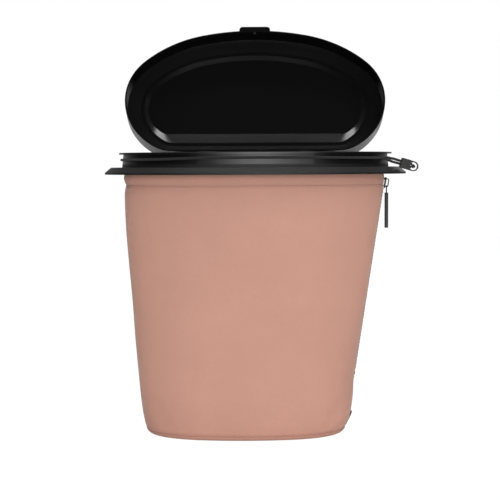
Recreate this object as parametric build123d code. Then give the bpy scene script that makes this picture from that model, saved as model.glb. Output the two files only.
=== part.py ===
from build123d import *
import os
from math import atan, cos, degrees, pi, radians, sin, tan

# Soft waste bin with a moulded collar and a hinged lid, in millimetres.
# +Z is up, -Y is the front, and the origin lies in the face that the base stands on.
# The lid is modelled shut and then swung back to its stop, which is the rest pose.

# Plan outline of the lid's rim: radius and sweep of each arc, from the front centre to the flat back
OUTLINE_ARCS = [(295.0, 12.2), (149.0, 29.5), (67.0, 48.3), (71.5, 61.5), (40.0, 28.5)]
FRONT_ARC_COUNT = 3

# Heights
SHELF_TOP_Z = 291.0
LIP_HEIGHT = 16.0

# Collar, as insets from the lid's rim outline
WALL = 2.2
LIP_INSET = 3.15
LIP_THICKNESS = 1.9
NECK_TOP_INSET = 7.9
NECK_FOOT_INSET = 6.25
SHELF_REACH = 5.6
BRIM_RUN = 6.8
BRIM_DROP = 5.7
BRIM_EDGE = 1.9
SPIGOT_HEIGHT = 18.0
MOUTH_CHAMFER = 3.0
EDGE_ROUND = 0.6

# Rear deck, hinge and hanging slots
DECK_HALF_WIDTH = 96.0
DECK_REACH = 24.0
DECK_CORNER = 10.0
SLOT_SPACING = 120.0
SLOT_LENGTH = 14.0
SLOT_WIDTH = 5.0
SLOT_EDGE_DISTANCE = 6.5
HINGE_X = 74.0
HINGE_BEHIND_LID = 8.0
HINGE_ABOVE_SHELF = 8.0
ARM_WIDTH = 16.0
BARREL_RADIUS = 4.2
EAR_THICKNESS = 4.0
EAR_RADIUS = 4.8
EAR_FOOT = 7.5
SIDE_CLEARANCE = 0.35
PIN_RADIUS = 1.5
PIN_CLEARANCE = 0.1
PIN_HEAD_RADIUS = 2.4
PIN_HEAD_THICKNESS = 1.0
OPEN_ANGLE = 115.0
HEEL_DEPTH = 4.2
STOP_CLEARANCE = 0.3

# Lid
RIM_CLEARANCE = 0.5
LID_WALL = 1.8
SKIRT_HEIGHT = 20.5
SHOULDER_WIDTH = 15.0
SHOULDER_RISE = 3.6
PLATEAU_MARGIN = 4.5
PLATEAU_SIDE_RUN = 4.5
PLATEAU_BACK_RUN = 8.5
PLATEAU_RISE = 3.4
TAB_WIDTH = 36.6
TAB_REACH = 5.2
TAB_THICKNESS = 3.0
TAB_CORNER = 4.0
LATCH_WIDTH = 3.0
LATCH_HEIGHT = 10.0
LATCH_DEPTH = 0.9
LATCH_ABOVE_RIM = 3.0
ARM_ROOT_LOW = 1.5
ARM_ROOT_HIGH = 14.0

# Fabric bag: heights and half widths of its sections, and how its right and rear sides slope
CLOTH = 1.6
BAG_TOP_INSET = 11.6
HEM_HEIGHT = 17.1
BAG_SHOULDER_Z = 224.0
BAG_SHOULDER_HALF_WIDTH = 137.4
BAG_FOOT_Z = 9.0
BAG_FOOT_HALF_WIDTH = 111.0
BAG_SOLE_HALF_WIDTH = 104.0
RIGHT_SIDE_SLOPE = 0.153
BACK_SIDE_SLOPE = 0.02
SEAM_HEIGHT = 4.5
SEAM_GAP = 0.1
TAPE_THICKNESS = 1.0
LAYER_GAP = 0.1
BOARD_THICKNESS = 2.5
BOARD_INSET = 3.0

# Zip
ZIP_SLOT_HALF_WIDTH = 2.9
ZIP_GARAGE_HALF_WIDTH = 5.2
ZIP_BOTTOM_Z = 60.0
ZIP_TAPE_WIDTH = 9.0
ZIP_TAPE_THICKNESS = 0.9
ZIP_CENTRE_GAP = 0.5
TOOTH_PITCH = 3.9
TOOTH_LENGTH = 1.7
TOOTH_WIDTH = 2.1
TOOTH_PROUD = 0.6
SLIDER_LENGTH = 12.0
SLIDER_WIDTH = 8.4
SLIDER_PLATE = 1.0
SLIDER_RUNNING_GAP = 0.25
SLIDER_POST = 0.6
BRIDGE_LENGTH = 10.0
BRIDGE_HEIGHT = 4.2
BRIDGE_BAND = 1.1
BRIDGE_WIDTH = 1.4
LINK_WIRE = 1.1
LINK_WIDTH = 3.8
LINK_CORNER = 0.8
LINK_LENGTH = 9.5
LINK_IN_BAR = 2.0
PULL_BAR_DIAMETER = 4.1
PULL_BAR_LENGTH = 38.7
PULL_GROOVE_DEPTH = 0.25
PULL_GROOVE_FROM_END = 3.0
STOP_LENGTH = 3.0

# Elastic cord and its lock
CORD_DIAMETER = 2.8
CORD_ABOVE_SHELF = 9.6
CORD_GAP = 0.15
CORD_FRONT_END_DEG = 38.0
CORD_BACK_END_DEG = 20.0
CORD_CUT_REACH = 2.0
STRAND_FRONT_LEAD = 4.6
STRAND_BACK_LEAD = 5.5
STRAND_LOCK_LEAD = 4.5
STRAND_FRONT_BEND = (-4.0, 0.9, 0.9)
STRAND_BACK_BEND = (-3.0, 4.2, 1.3)
STRAND_BEND_SHARE = 0.45
LOCK_LENGTH = 19.4
LOCK_HEIGHT = 10.7
LOCK_TILT_DEG = 17.0
LOCK_X = 155.6
LOCK_Y = -36.0
LOCK_ABOVE_SHELF = 4.3
LOCK_FRONT = 7.2
LOCK_BACK = 5.4
EYE_RADIUS = 4.2
EYE_PLATE = 5.0
CORD_SPACING = 3.1
CORD_CLEARANCE = 0.15
PLUNGER_RADIUS = 3.7
PLUNGER_U = 5.4
PLUNGER_CLEARANCE = 0.2
PLUNGER_PROUD = 2.4
PLUNGER_WALL = 1.0
PLUNGER_TRAVEL = 1.6
LOCK_FRONT_WALL = 1.2
SPRING_WIRE = 0.5
SPRING_RADIUS = 2.2
SPRING_TURNS = 3
KNOT_RADIUS = 2.2

# Side label
LABEL_LOW_Z = 8.0
LABEL_HIGH_Z = 23.0
LABEL_DEPTH = 12.0
LABEL_THICKNESS = 1.1
LABEL_GAP = 0.1

OVERSIZE = 400.0


def front_depth(arcs):
    """Distance from the widest point of an outline to its front centre."""
    heading = 0.0
    depth = 0.0
    for radius, sweep in arcs[:FRONT_ARC_COUNT]:
        depth += radius * (cos(radians(heading)) - cos(radians(heading + sweep)))
        heading += sweep
    return depth


def grown(arcs, offset, back_pull=0.0):
    """The outline's arcs grown by an offset, with the rear ones drawn in by back_pull."""
    front = [(radius + offset, sweep) for radius, sweep in arcs[:FRONT_ARC_COUNT]]
    rear = [(radius + offset - back_pull, sweep) for radius, sweep in arcs[FRONT_ARC_COUNT:]]
    return front + rear


def outline_extent(arcs):
    """Half width and rear reach of an outline, from its widest point."""
    heading = 0.0
    x = 0.0
    for radius, sweep in arcs[:FRONT_ARC_COUNT]:
        x += radius * (sin(radians(heading + sweep)) - sin(radians(heading)))
        heading += sweep
    reach = 0.0
    for radius, sweep in arcs[FRONT_ARC_COUNT:]:
        reach += radius * (cos(radians(heading)) - cos(radians(heading + sweep)))
        heading += sweep
    return x, reach


def arc_edges(arcs, z, shift_x, shift_y, side):
    """One half of an outline as tangent arcs, side 1 for +X and -1 for -X, and its last point."""
    edges = []
    heading = 0.0
    x = 0.0
    y = -front_depth(arcs)
    for radius, sweep in arcs:
        points = []
        for share in (0.0, 0.5, 1.0):
            angle = radians(heading + share * sweep)
            px = x + radius * (sin(angle) - sin(radians(heading)))
            py = y + radius * (cos(radians(heading)) - cos(angle))
            points.append((px, py))
        placed = [(side * px + shift_x, py + shift_y, z) for px, py in points]
        edges.append(ThreePointArc(*placed))
        x, y = points[2]
        heading += sweep
    return edges, placed[2]


def outline_wire(arcs, z, shift_x=0.0, shift_y=0.0):
    """Closed D-shaped wire at height z."""
    right, right_end = arc_edges(arcs, z, shift_x, shift_y, 1)
    left, left_end = arc_edges(arcs, z, shift_x, shift_y, -1)
    return Wire(right + [Line(right_end, left_end)] + left)


def rim_wire(inset, z, back_pull=0.0):
    """The lid's rim outline drawn in by an inset, at height z."""
    return outline_wire(grown(OUTLINE_ARCS, -inset, back_pull), z)


def rim_block(inset, z_low, z_high):
    """Upright block with the rim outline drawn in by an inset."""
    face = Face(rim_wire(inset, z_low))
    return Solid.extrude(face, Vector(0, 0, z_high - z_low))


def rim_loft(*sections):
    """Straight-sided loft through (inset, z) or (inset, z, back_pull) sections of the rim outline."""
    return Solid.make_loft([rim_wire(*section) for section in sections], ruled=True)


def cylinder_x(radius, length, y, z, x=0.0):
    """Cylinder lying along X, centred at x."""
    return Pos(x, y, z) * Rot(0, 90, 0) * Cylinder(radius, length)


def block(x_low, x_high, y_low, y_high, z_low, z_high):
    """Box given by its limits."""
    size = (x_high - x_low, y_high - y_low, z_high - z_low)
    centre = Pos((x_high + x_low) / 2, (y_high + y_low) / 2, (z_high + z_low) / 2)
    return centre * Box(*size)


# Positions that several sub-parts share
HALF_WIDTH, LID_BACK_Y = outline_extent(OUTLINE_ARCS)
RIM_FRONT = front_depth(OUTLINE_ARCS)
LIP_TOP_Z = SHELF_TOP_Z + LIP_HEIGHT
SHELF_UNDER_Z = SHELF_TOP_Z - WALL
SPIGOT_FOOT_Z = SHELF_TOP_Z - SPIGOT_HEIGHT
HINGE_Y = LID_BACK_Y + HINGE_BEHIND_LID
HINGE_Z = SHELF_TOP_Z + HINGE_ABOVE_SHELF
DECK_BACK_Y = LID_BACK_Y + DECK_REACH
RIM_Z = SHELF_TOP_Z + RIM_CLEARANCE
BAG_TOP_Z = SHELF_UNDER_Z - LAYER_GAP
HEM_FOOT_Z = BAG_TOP_Z - HEM_HEIGHT
BAG_TOP_HALF_WIDTH = HALF_WIDTH - BAG_TOP_INSET
LOOP_INSET = BAG_TOP_INSET + CLOTH + LAYER_GAP
HOOK_INSET = LOOP_INSET + TAPE_THICKNESS + LAYER_GAP
SPIGOT_INSET = HOOK_INSET + TAPE_THICKNESS + LAYER_GAP


def right_side_x(z):
    """Where the bag's right side lies at height z."""
    return BAG_TOP_HALF_WIDTH - RIGHT_SIDE_SLOPE * max(0.0, HEM_FOOT_Z - z)


def bag_arcs(z, half_width):
    """The bag's outline at height z: its top outline, narrowed in front more than behind."""
    top = grown(OUTLINE_ARCS, -BAG_TOP_INSET)
    top_reach = outline_extent(top)[1]
    reach = top_reach - BACK_SIDE_SLOPE * max(0.0, HEM_FOOT_Z - z)
    front_scale = half_width / BAG_TOP_HALF_WIDTH
    rear_scale = reach / top_reach
    front = [(radius * front_scale, sweep) for radius, sweep in top[:FRONT_ARC_COUNT]]
    rear = [(radius * rear_scale, sweep) for radius, sweep in top[FRONT_ARC_COUNT:]]
    return front + rear


def bag_section(z, half_width, inset):
    """Outline of the bag at height z, drawn in by an inset, its right side on the zip's line."""
    shift_x = right_side_x(z) - half_width
    return outline_wire(grown(bag_arcs(z, half_width), -inset), z, shift_x)


def bag_block(inset, z_low, z_high):
    """The space inside the bag's outer face, drawn in by an inset, between two heights."""
    wires = [
        bag_section(0.0, BAG_SOLE_HALF_WIDTH, inset),
        bag_section(BAG_FOOT_Z, BAG_FOOT_HALF_WIDTH, inset),
        bag_section(BAG_SHOULDER_Z, BAG_SHOULDER_HALF_WIDTH, inset),
        bag_section(HEM_FOOT_Z, BAG_TOP_HALF_WIDTH, inset),
    ]
    tapered = Solid.make_loft(wires, ruled=True)
    top_face = Face(bag_section(HEM_FOOT_Z, BAG_TOP_HALF_WIDTH, inset))
    upright = Solid.extrude(top_face, Vector(0, 0, BAG_TOP_Z - HEM_FOOT_Z))
    slab = block(-OVERSIZE, OVERSIZE, -OVERSIZE, OVERSIZE, z_low, z_high)
    pieces = []
    if z_low < HEM_FOOT_Z:
        pieces.append(tapered & slab)
    if z_high > HEM_FOOT_Z:
        pieces.append(upright & slab)
    return pieces


def bag_shell(outer_inset, inner_inset, z_low, z_high):
    """Layer of the bag's wall between two insets and two heights."""
    layers = []
    for outer, inner in zip(
        bag_block(outer_inset, z_low, z_high), bag_block(inner_inset, z_low, z_high)
    ):
        layers.append(outer - inner)
    shell = layers[0]
    for layer in layers[1:]:
        shell = shell + layer
    return shell


# The zip runs down the bag's right side, in the plane through its widest points
ZIP_ANGLE = atan(RIGHT_SIDE_SLOPE)
ZIP_DOWN = Vector(-sin(ZIP_ANGLE), 0, -cos(ZIP_ANGLE))
ZIP_OUT = Vector(cos(ZIP_ANGLE), 0, -sin(ZIP_ANGLE))


def zip_point(z, out=0.0, along=0.0):
    """Point on the zip's line at height z, moved outwards and down along the line."""
    x = BAG_TOP_HALF_WIDTH - RIGHT_SIDE_SLOPE * (HEM_FOOT_Z - z)
    return Vector(x, 0, z) + ZIP_OUT * out + ZIP_DOWN * along


def on_zip(solid, z, out=0.0, along=0.0):
    """A solid built with X outwards and Z up the zip, set on its line at height z."""
    place = zip_point(z, out, along)
    return Pos(place.X, place.Y, place.Z) * Rot(0, degrees(ZIP_ANGLE), 0) * solid


def make_collar():
    """Moulded collar: lip, neck, shelf with a drooping brim, spigot, rear deck and hinge ears."""
    brim_inset = -SHELF_REACH - BRIM_RUN
    brim_top_z = SHELF_TOP_Z - BRIM_DROP
    brim_foot_z = brim_top_z - BRIM_EDGE
    body = rim_block(brim_inset, brim_foot_z, brim_top_z)
    body = body + rim_loft((brim_inset, brim_top_z), (-SHELF_REACH, SHELF_TOP_Z))
    hollow = rim_loft(
        (brim_inset + WALL, brim_foot_z),
        (-SHELF_REACH + WALL, SHELF_UNDER_Z),
    )
    body = body - hollow
    neck = rim_loft((NECK_FOOT_INSET, SHELF_UNDER_Z), (NECK_TOP_INSET, LIP_TOP_Z - LIP_THICKNESS))
    lip = rim_block(LIP_INSET, LIP_TOP_Z - LIP_THICKNESS, LIP_TOP_Z)
    lip = fillet(lip.edges().filter_by(lambda edge: edge.center().Z > LIP_TOP_Z - EDGE_ROUND), EDGE_ROUND)
    spigot = rim_block(SPIGOT_INSET, SPIGOT_FOOT_Z, SHELF_TOP_Z)
    body = body + neck + lip + spigot + rear_deck()
    for side in (-1, 1):
        for ear_side in (-1, 1):
            body = body + hinge_ear(side * HINGE_X + ear_side * ear_offset())
    bore_inset = SPIGOT_INSET + WALL
    bore = rim_loft(
        (bore_inset, SPIGOT_FOOT_Z - WALL),
        (bore_inset, SHELF_UNDER_Z),
        (bore_inset - MOUTH_CHAMFER, SHELF_TOP_Z),
    )
    mouth = rim_loft((NECK_FOOT_INSET + WALL, SHELF_TOP_Z), (NECK_TOP_INSET + WALL, LIP_TOP_Z + WALL))
    body = body - bore - mouth
    for side in (-1, 1):
        body = body - hanging_slot(side * SLOT_SPACING / 2)
    return body


def rear_deck():
    """Flat deck behind the lid that carries the hinges and the hanging slots."""
    plan = RectangleRounded(2 * DECK_HALF_WIDTH, DECK_BACK_Y, DECK_CORNER)
    return Pos(0, DECK_BACK_Y / 2, SHELF_UNDER_Z) * extrude(plan, WALL)


def hanging_slot(x):
    """Round-ended slot through the deck."""
    slot = SlotOverall(SLOT_LENGTH, SLOT_WIDTH)
    y = DECK_BACK_Y - SLOT_EDGE_DISTANCE
    return Pos(x, y, SHELF_UNDER_Z - WALL) * extrude(slot, 3 * WALL)


def ear_offset():
    """Distance from a hinge's middle to the middle of each of its ears."""
    return ARM_WIDTH / 2 + SIDE_CLEARANCE + EAR_THICKNESS / 2


def hinge_ear(x):
    """Upright ear with a round top that holds one end of a hinge pin."""
    foot = block(
        x - EAR_THICKNESS / 2,
        x + EAR_THICKNESS / 2,
        HINGE_Y - EAR_FOOT,
        HINGE_Y + EAR_FOOT,
        SHELF_UNDER_Z,
        SHELF_TOP_Z,
    )
    low = Face(Wire.make_polygon([
        (x, HINGE_Y - EAR_FOOT, SHELF_TOP_Z),
        (x, HINGE_Y + EAR_FOOT, SHELF_TOP_Z),
        (x, HINGE_Y + EAR_RADIUS, HINGE_Z),
        (x, HINGE_Y - EAR_RADIUS, HINGE_Z),
    ]))
    web = Solid.extrude(low, Vector(EAR_THICKNESS / 2, 0, 0))
    web = web + Solid.extrude(low, Vector(-EAR_THICKNESS / 2, 0, 0))
    head = cylinder_x(EAR_RADIUS, EAR_THICKNESS, HINGE_Y, HINGE_Z, x)
    hole = cylinder_x(PIN_RADIUS + PIN_CLEARANCE, 2 * EAR_THICKNESS, HINGE_Y, HINGE_Z, x)
    return foot + web + head - hole


def make_hinge_pin(side):
    """Steel pin with a head at each end, through two ears and the lid's arm."""
    half_length = ear_offset() + EAR_THICKNESS / 2 + SIDE_CLEARANCE / 2
    x = side * HINGE_X
    pin = cylinder_x(PIN_RADIUS, 2 * half_length, HINGE_Y, HINGE_Z, x)
    for end in (-1, 1):
        head_x = x + end * (half_length + PIN_HEAD_THICKNESS / 2)
        pin = pin + cylinder_x(PIN_HEAD_RADIUS, PIN_HEAD_THICKNESS, HINGE_Y, HINGE_Z, head_x)
    return pin


def lid_space(inset, lift):
    """Space inside the lid's outer face, drawn in by a wall on the sides and on top."""
    skirt_top = RIM_Z + SKIRT_HEIGHT - lift
    shoulder_top = skirt_top + SHOULDER_RISE
    plateau_inset = SHOULDER_WIDTH + PLATEAU_MARGIN + inset
    space = rim_block(inset, RIM_Z, skirt_top)
    space = space + rim_loft((inset, skirt_top), (SHOULDER_WIDTH + inset, shoulder_top))
    space = space + rim_loft(
        (plateau_inset, shoulder_top - LID_WALL),
        (plateau_inset, shoulder_top),
        (plateau_inset + PLATEAU_SIDE_RUN, shoulder_top + PLATEAU_RISE, PLATEAU_BACK_RUN),
    )
    return space


def lid_arm(x):
    """Arm from the lid's back wall to its hinge barrel."""
    root_low = RIM_Z + ARM_ROOT_LOW
    root_high = RIM_Z + ARM_ROOT_HIGH
    inside_wall = LID_BACK_Y - LID_WALL / 2
    profile = Face(Wire.make_polygon([
        (x, inside_wall, root_low),
        (x, HINGE_Y, HINGE_Z - BARREL_RADIUS),
        (x, HINGE_Y + BARREL_RADIUS * cos(pi / 4), HINGE_Z + BARREL_RADIUS * sin(pi / 4)),
        (x, inside_wall, root_high),
    ]))
    web = Solid.extrude(profile, Vector(ARM_WIDTH / 2, 0, 0))
    web = web + Solid.extrude(profile, Vector(-ARM_WIDTH / 2, 0, 0))
    return web + cylinder_x(BARREL_RADIUS, ARM_WIDTH, HINGE_Y, HINGE_Z, x)


def swing_open(solid):
    """Turn a solid of the shut lid about the hinge to its open stop."""
    return Pos(0, HINGE_Y, HINGE_Z) * Rot(-OPEN_ANGLE, 0, 0) * Pos(0, -HINGE_Y, -HINGE_Z) * solid


def make_lid():
    """Lid moulding with its skirt, plateau, finger tab, latch rib and hinge arms, open."""
    shell = lid_space(0.0, 0.0) - lid_space(LID_WALL, LID_WALL)
    tab_face = RectangleRounded(TAB_WIDTH, 2 * TAB_REACH + TAB_CORNER, TAB_CORNER)
    tab = Pos(0, -RIM_FRONT + TAB_CORNER / 2, RIM_Z) * extrude(tab_face, TAB_THICKNESS)
    tab = tab - rim_block(LID_WALL / 2, RIM_Z - LID_WALL, RIM_Z + SKIRT_HEIGHT)
    latch_y = -RIM_FRONT + LID_WALL
    latch = block(
        -LATCH_WIDTH / 2,
        LATCH_WIDTH / 2,
        latch_y - LID_WALL / 2,
        latch_y + LATCH_DEPTH,
        RIM_Z + LATCH_ABOVE_RIM,
        RIM_Z + LATCH_ABOVE_RIM + LATCH_HEIGHT,
    )
    lid = shell + tab + latch
    for side in (-1, 1):
        lid = lid + lid_arm(side * HINGE_X)
    lid = swing_open(lid)
    for side in (-1, 1):
        x = side * HINGE_X
        heel = block(
            x - ARM_WIDTH / 2,
            x + ARM_WIDTH / 2,
            HINGE_Y,
            HINGE_Y + HEEL_DEPTH,
            SHELF_TOP_Z + STOP_CLEARANCE,
            HINGE_Z,
        )
        bore = cylinder_x(PIN_RADIUS + PIN_CLEARANCE, 2 * ARM_WIDTH, HINGE_Y, HINGE_Z, x)
        lid = lid + heel - bore
    return lid


def zip_gap(half_width, z_low):
    """Upright slot through the bag's right side for the zip."""
    return block(0, OVERSIZE, -half_width, half_width, z_low, BAG_TOP_Z + WALL)


def half_space(side, gap):
    """Everything in front of (-1) or behind (1) the bag's side seams."""
    if side < 0:
        return block(-OVERSIZE, OVERSIZE, -OVERSIZE, -gap / 2, -OVERSIZE, OVERSIZE)
    return block(-OVERSIZE, OVERSIZE, gap / 2, OVERSIZE, -OVERSIZE, OVERSIZE)


def make_panel(side):
    """Front or back fabric panel of the bag, from the base seam to the hem."""
    wall = bag_shell(0.0, CLOTH, SEAM_HEIGHT + SEAM_GAP, HEM_FOOT_Z - SEAM_GAP)
    wall = wall - zip_gap(ZIP_SLOT_HALF_WIDTH, ZIP_BOTTOM_Z)
    return wall & half_space(side, SEAM_GAP)


def make_hem():
    """Folded hem band that sits round the collar's spigot."""
    band = bag_shell(0.0, CLOTH, HEM_FOOT_Z, BAG_TOP_Z)
    return band - zip_gap(ZIP_GARAGE_HALF_WIDTH, SPIGOT_FOOT_Z - HEM_HEIGHT)


def make_tape(inset):
    """Band of hook or loop tape between the hem and the spigot."""
    tape = rim_block(inset, SPIGOT_FOOT_Z + LAYER_GAP, BAG_TOP_Z)
    tape = tape - rim_block(inset + TAPE_THICKNESS, SPIGOT_FOOT_Z - WALL, BAG_TOP_Z + WALL)
    return tape - zip_gap(ZIP_GARAGE_HALF_WIDTH, SPIGOT_FOOT_Z - HEM_HEIGHT)


def make_base_panel():
    """Fabric base turned up round its edge to the base seam."""
    tray = bag_block(0.0, 0.0, SEAM_HEIGHT)[0]
    return tray - bag_block(CLOTH, CLOTH, SEAM_HEIGHT + CLOTH)[0]


def make_base_board():
    """Stiffening board that lies inside the base."""
    low = CLOTH + SEAM_GAP
    return bag_block(CLOTH + BOARD_INSET, low, low + BOARD_THICKNESS)[0]


def make_base_binding():
    """Binding tape sewn over the base seam on the inside."""
    inner = CLOTH + SEAM_GAP
    low = SEAM_HEIGHT - CLOTH
    return bag_shell(inner, inner + TAPE_THICKNESS, low, SEAM_HEIGHT + BOARD_THICKNESS)


def make_zip_tape(side):
    """Woven tape that carries one row of teeth, behind the panel's edge."""
    inner = CLOTH + LAYER_GAP
    tape = bag_shell(inner, inner + ZIP_TAPE_THICKNESS, ZIP_BOTTOM_Z, HEM_FOOT_Z)
    low, high = sorted((side * ZIP_CENTRE_GAP, side * ZIP_TAPE_WIDTH))
    return tape & block(0, OVERSIZE, low, high, -OVERSIZE, OVERSIZE)


def tooth_depths():
    """Lowest and highest reach of a tooth, measured outwards from the bag's face."""
    return -CLOTH, TOOTH_PROUD


def tooth(side, length):
    """One moulded tooth of the zip, standing on the edge of its tape."""
    low, high = tooth_depths()
    inner_y = ZIP_CENTRE_GAP
    y_low, y_high = sorted((side * inner_y, side * (inner_y + TOOTH_WIDTH)))
    return block(low, high, y_low, y_high, -length / 2, length / 2)


def make_teeth(side):
    """Row of teeth at an even pitch, each row set half a pitch from the other."""
    top_z = HEM_FOOT_Z - STOP_LENGTH - TOOTH_PITCH / 2
    bottom_z = ZIP_BOTTOM_Z + 2 * STOP_LENGTH
    run = (top_z - bottom_z) / cos(ZIP_ANGLE)
    count = int(run / TOOTH_PITCH)
    offset = TOOTH_PITCH / 2 if side > 0 else 0.0
    teeth = []
    for index in range(count):
        along = index * TOOTH_PITCH + offset
        teeth.append(on_zip(tooth(side, TOOTH_LENGTH), top_z, 0.0, along))
    return Compound(children=teeth)


def make_top_stops():
    """Top stop of each row of teeth."""
    z = HEM_FOOT_Z - STOP_LENGTH / 2
    return Compound(children=[on_zip(tooth(side, STOP_LENGTH / 2), z) for side in (-1, 1)])


def make_bottom_stop():
    """Stop that closes the foot of the zip."""
    low, high = tooth_depths()
    reach = ZIP_CENTRE_GAP + TOOTH_WIDTH
    stop = block(low, high, -reach, reach, 0, STOP_LENGTH)
    return on_zip(stop, ZIP_BOTTOM_Z + STOP_LENGTH / 2)


SLIDER_Z = HEM_FOOT_Z + SLIDER_LENGTH / 6


def slider_plate_out():
    """Lowest and highest reach of the slider's outer plate."""
    low = TOOTH_PROUD + SLIDER_RUNNING_GAP
    return low, low + SLIDER_PLATE


def make_slider():
    """Zip slider: two plates joined by a post, with an oval bridge on the outer plate."""
    outer_low, outer_high = slider_plate_out()
    inner_high = -CLOTH - LAYER_GAP - ZIP_TAPE_THICKNESS - SLIDER_RUNNING_GAP
    inner_low = inner_high - SLIDER_PLATE
    outline = RectangleRounded(SLIDER_LENGTH, SLIDER_WIDTH, SLIDER_WIDTH / 3)
    outer = Rot(0, 90, 0) * extrude(outline, SLIDER_PLATE)
    body = Pos(outer_low, 0, 0) * outer + Pos(inner_low, 0, 0) * outer
    post = block(
        inner_high - SLIDER_PLATE / 2,
        outer_low + SLIDER_PLATE / 2,
        -SLIDER_POST / 2,
        SLIDER_POST / 2,
        SLIDER_LENGTH / 4,
        SLIDER_LENGTH / 2 - SLIDER_POST,
    )
    oval = SlotOverall(BRIDGE_LENGTH, BRIDGE_HEIGHT)
    hole = SlotOverall(BRIDGE_LENGTH - 2 * BRIDGE_BAND, BRIDGE_HEIGHT - 2 * BRIDGE_BAND)
    upright = Plane(origin=(0, 0, 0), x_dir=(0, 0, 1), z_dir=(0, 1, 0))
    band = extrude(upright * (oval - hole), BRIDGE_WIDTH / 2, both=True)
    bridge = Pos(bridge_out(), 0, 0) * band
    return on_zip(body + post + bridge, SLIDER_Z)


def bridge_out():
    """How far out the middle of the slider's bridge lies."""
    return slider_plate_out()[1] + BRIDGE_HEIGHT / 2 - BRIDGE_BAND / 2


def pull_pivot():
    """Where the pull's wire link hangs in the foot of the bridge."""
    down = BRIDGE_LENGTH / 2 - BRIDGE_BAND - LINK_WIRE / 2 - LAYER_GAP
    return zip_point(SLIDER_Z, bridge_out(), down)


def make_link():
    """Wire link that hangs in the slider's bridge and runs into the bar."""
    pivot = pull_pivot()
    half = (LINK_WIDTH - LINK_WIRE) / 2
    foot = -LINK_LENGTH + LINK_WIRE
    corners = [(0, -half, foot), (0, -half, 0), (0, half, 0), (0, half, foot)]
    route = FilletPolyline(*corners, radius=LINK_CORNER, close=True)
    section = Plane(origin=(0, -half, foot / 2), z_dir=(0, 0, 1)) * Circle(LINK_WIRE / 2)
    link = sweep(section, path=route)
    return Pos(pivot.X, pivot.Y, pivot.Z) * link


def make_pull_bar():
    """Moulded grip bar on the foot of the link, hanging straight down."""
    pivot = pull_pivot()
    top_z = -LINK_LENGTH + LINK_IN_BAR
    bar = Pos(0, 0, top_z - PULL_BAR_LENGTH / 2) * Cylinder(PULL_BAR_DIAMETER / 2, PULL_BAR_LENGTH)
    bar = fillet(bar.edges(), EDGE_ROUND)
    groove_z = top_z - PULL_BAR_LENGTH + PULL_GROOVE_FROM_END
    ring = Cylinder(PULL_BAR_DIAMETER, PULL_GROOVE_DEPTH * 2)
    ring = ring - Cylinder(PULL_BAR_DIAMETER / 2 - PULL_GROOVE_DEPTH, PULL_GROOVE_DEPTH * 4)
    bar = bar - Pos(0, 0, groove_z) * ring
    half = LINK_WIDTH / 2
    pocket = block(
        -LINK_WIRE / 2,
        LINK_WIRE / 2,
        -half,
        half,
        -LINK_LENGTH,
        top_z + LINK_WIRE,
    )
    return Pos(pivot.X, pivot.Y, pivot.Z) * (bar - pocket)


# The elastic cord lies against the neck just under its lip
CORD_Z = SHELF_TOP_Z + CORD_ABOVE_SHELF
NECK_DRAFT = (NECK_TOP_INSET - NECK_FOOT_INSET) / (LIP_HEIGHT - LIP_THICKNESS + WALL)
NECK_INSET_AT_CORD = NECK_FOOT_INSET + NECK_DRAFT * (CORD_ABOVE_SHELF + WALL)
CORD_INSET = NECK_INSET_AT_CORD - CORD_DIAMETER / 2 - CORD_GAP


def cord_point(degrees_from_tip):
    """Point of the cord's ring in front of (negative) the right tip, and the way it runs there."""
    radius = OUTLINE_ARCS[FRONT_ARC_COUNT - 1][0] - CORD_INSET
    centre_x = HALF_WIDTH - CORD_INSET - radius
    angle = radians(degrees_from_tip)
    point = Vector(centre_x + radius * cos(angle), radius * sin(angle), CORD_Z)
    return point, Vector(-sin(angle), cos(angle), 0)


def make_cord_ring():
    """Elastic cord round the neck, open at the right where its two ends leave for the lock."""
    ring = sweep_ring(CORD_DIAMETER / 2)
    front = cord_point(-CORD_FRONT_END_DEG)[0]
    back = cord_point(-CORD_BACK_END_DEG)[0]
    centre_x = HALF_WIDTH - OUTLINE_ARCS[FRONT_ARC_COUNT - 1][0]
    centre = Vector(centre_x, 0, CORD_Z)
    corner_front = centre + (front - centre) * CORD_CUT_REACH
    corner_back = centre + (back - centre) * CORD_CUT_REACH
    wedge = Face(Wire.make_polygon([centre, corner_front, corner_back]))
    wedge = Solid.extrude(wedge, Vector(0, 0, CORD_DIAMETER))
    return ring - Pos(0, 0, -CORD_DIAMETER / 2) * wedge


def sweep_ring(radius):
    """Closed ring of round section along the neck's outline."""
    path = rim_wire(CORD_INSET, CORD_Z)
    start = Plane(origin=(0, -RIM_FRONT + CORD_INSET, CORD_Z), z_dir=(1, 0, 0))
    return sweep(start * Circle(radius), path=path)


def lock_point(u, w, y=0.0):
    """Point of the lock: u along it from its inner end, w up across it, y back from its cords."""
    tilt = radians(LOCK_TILT_DEG)
    start = Vector(LOCK_X, LOCK_Y + y, SHELF_TOP_Z + LOCK_ABOVE_SHELF)
    return start + Vector(cos(tilt), 0, -sin(tilt)) * u + Vector(sin(tilt), 0, cos(tilt)) * w


def on_lock(solid):
    """A solid built with X along the lock and Z up across it, set in its place."""
    start = lock_point(0, 0)
    return Pos(start.X, start.Y, start.Z) * Rot(0, LOCK_TILT_DEG, 0) * solid


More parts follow.
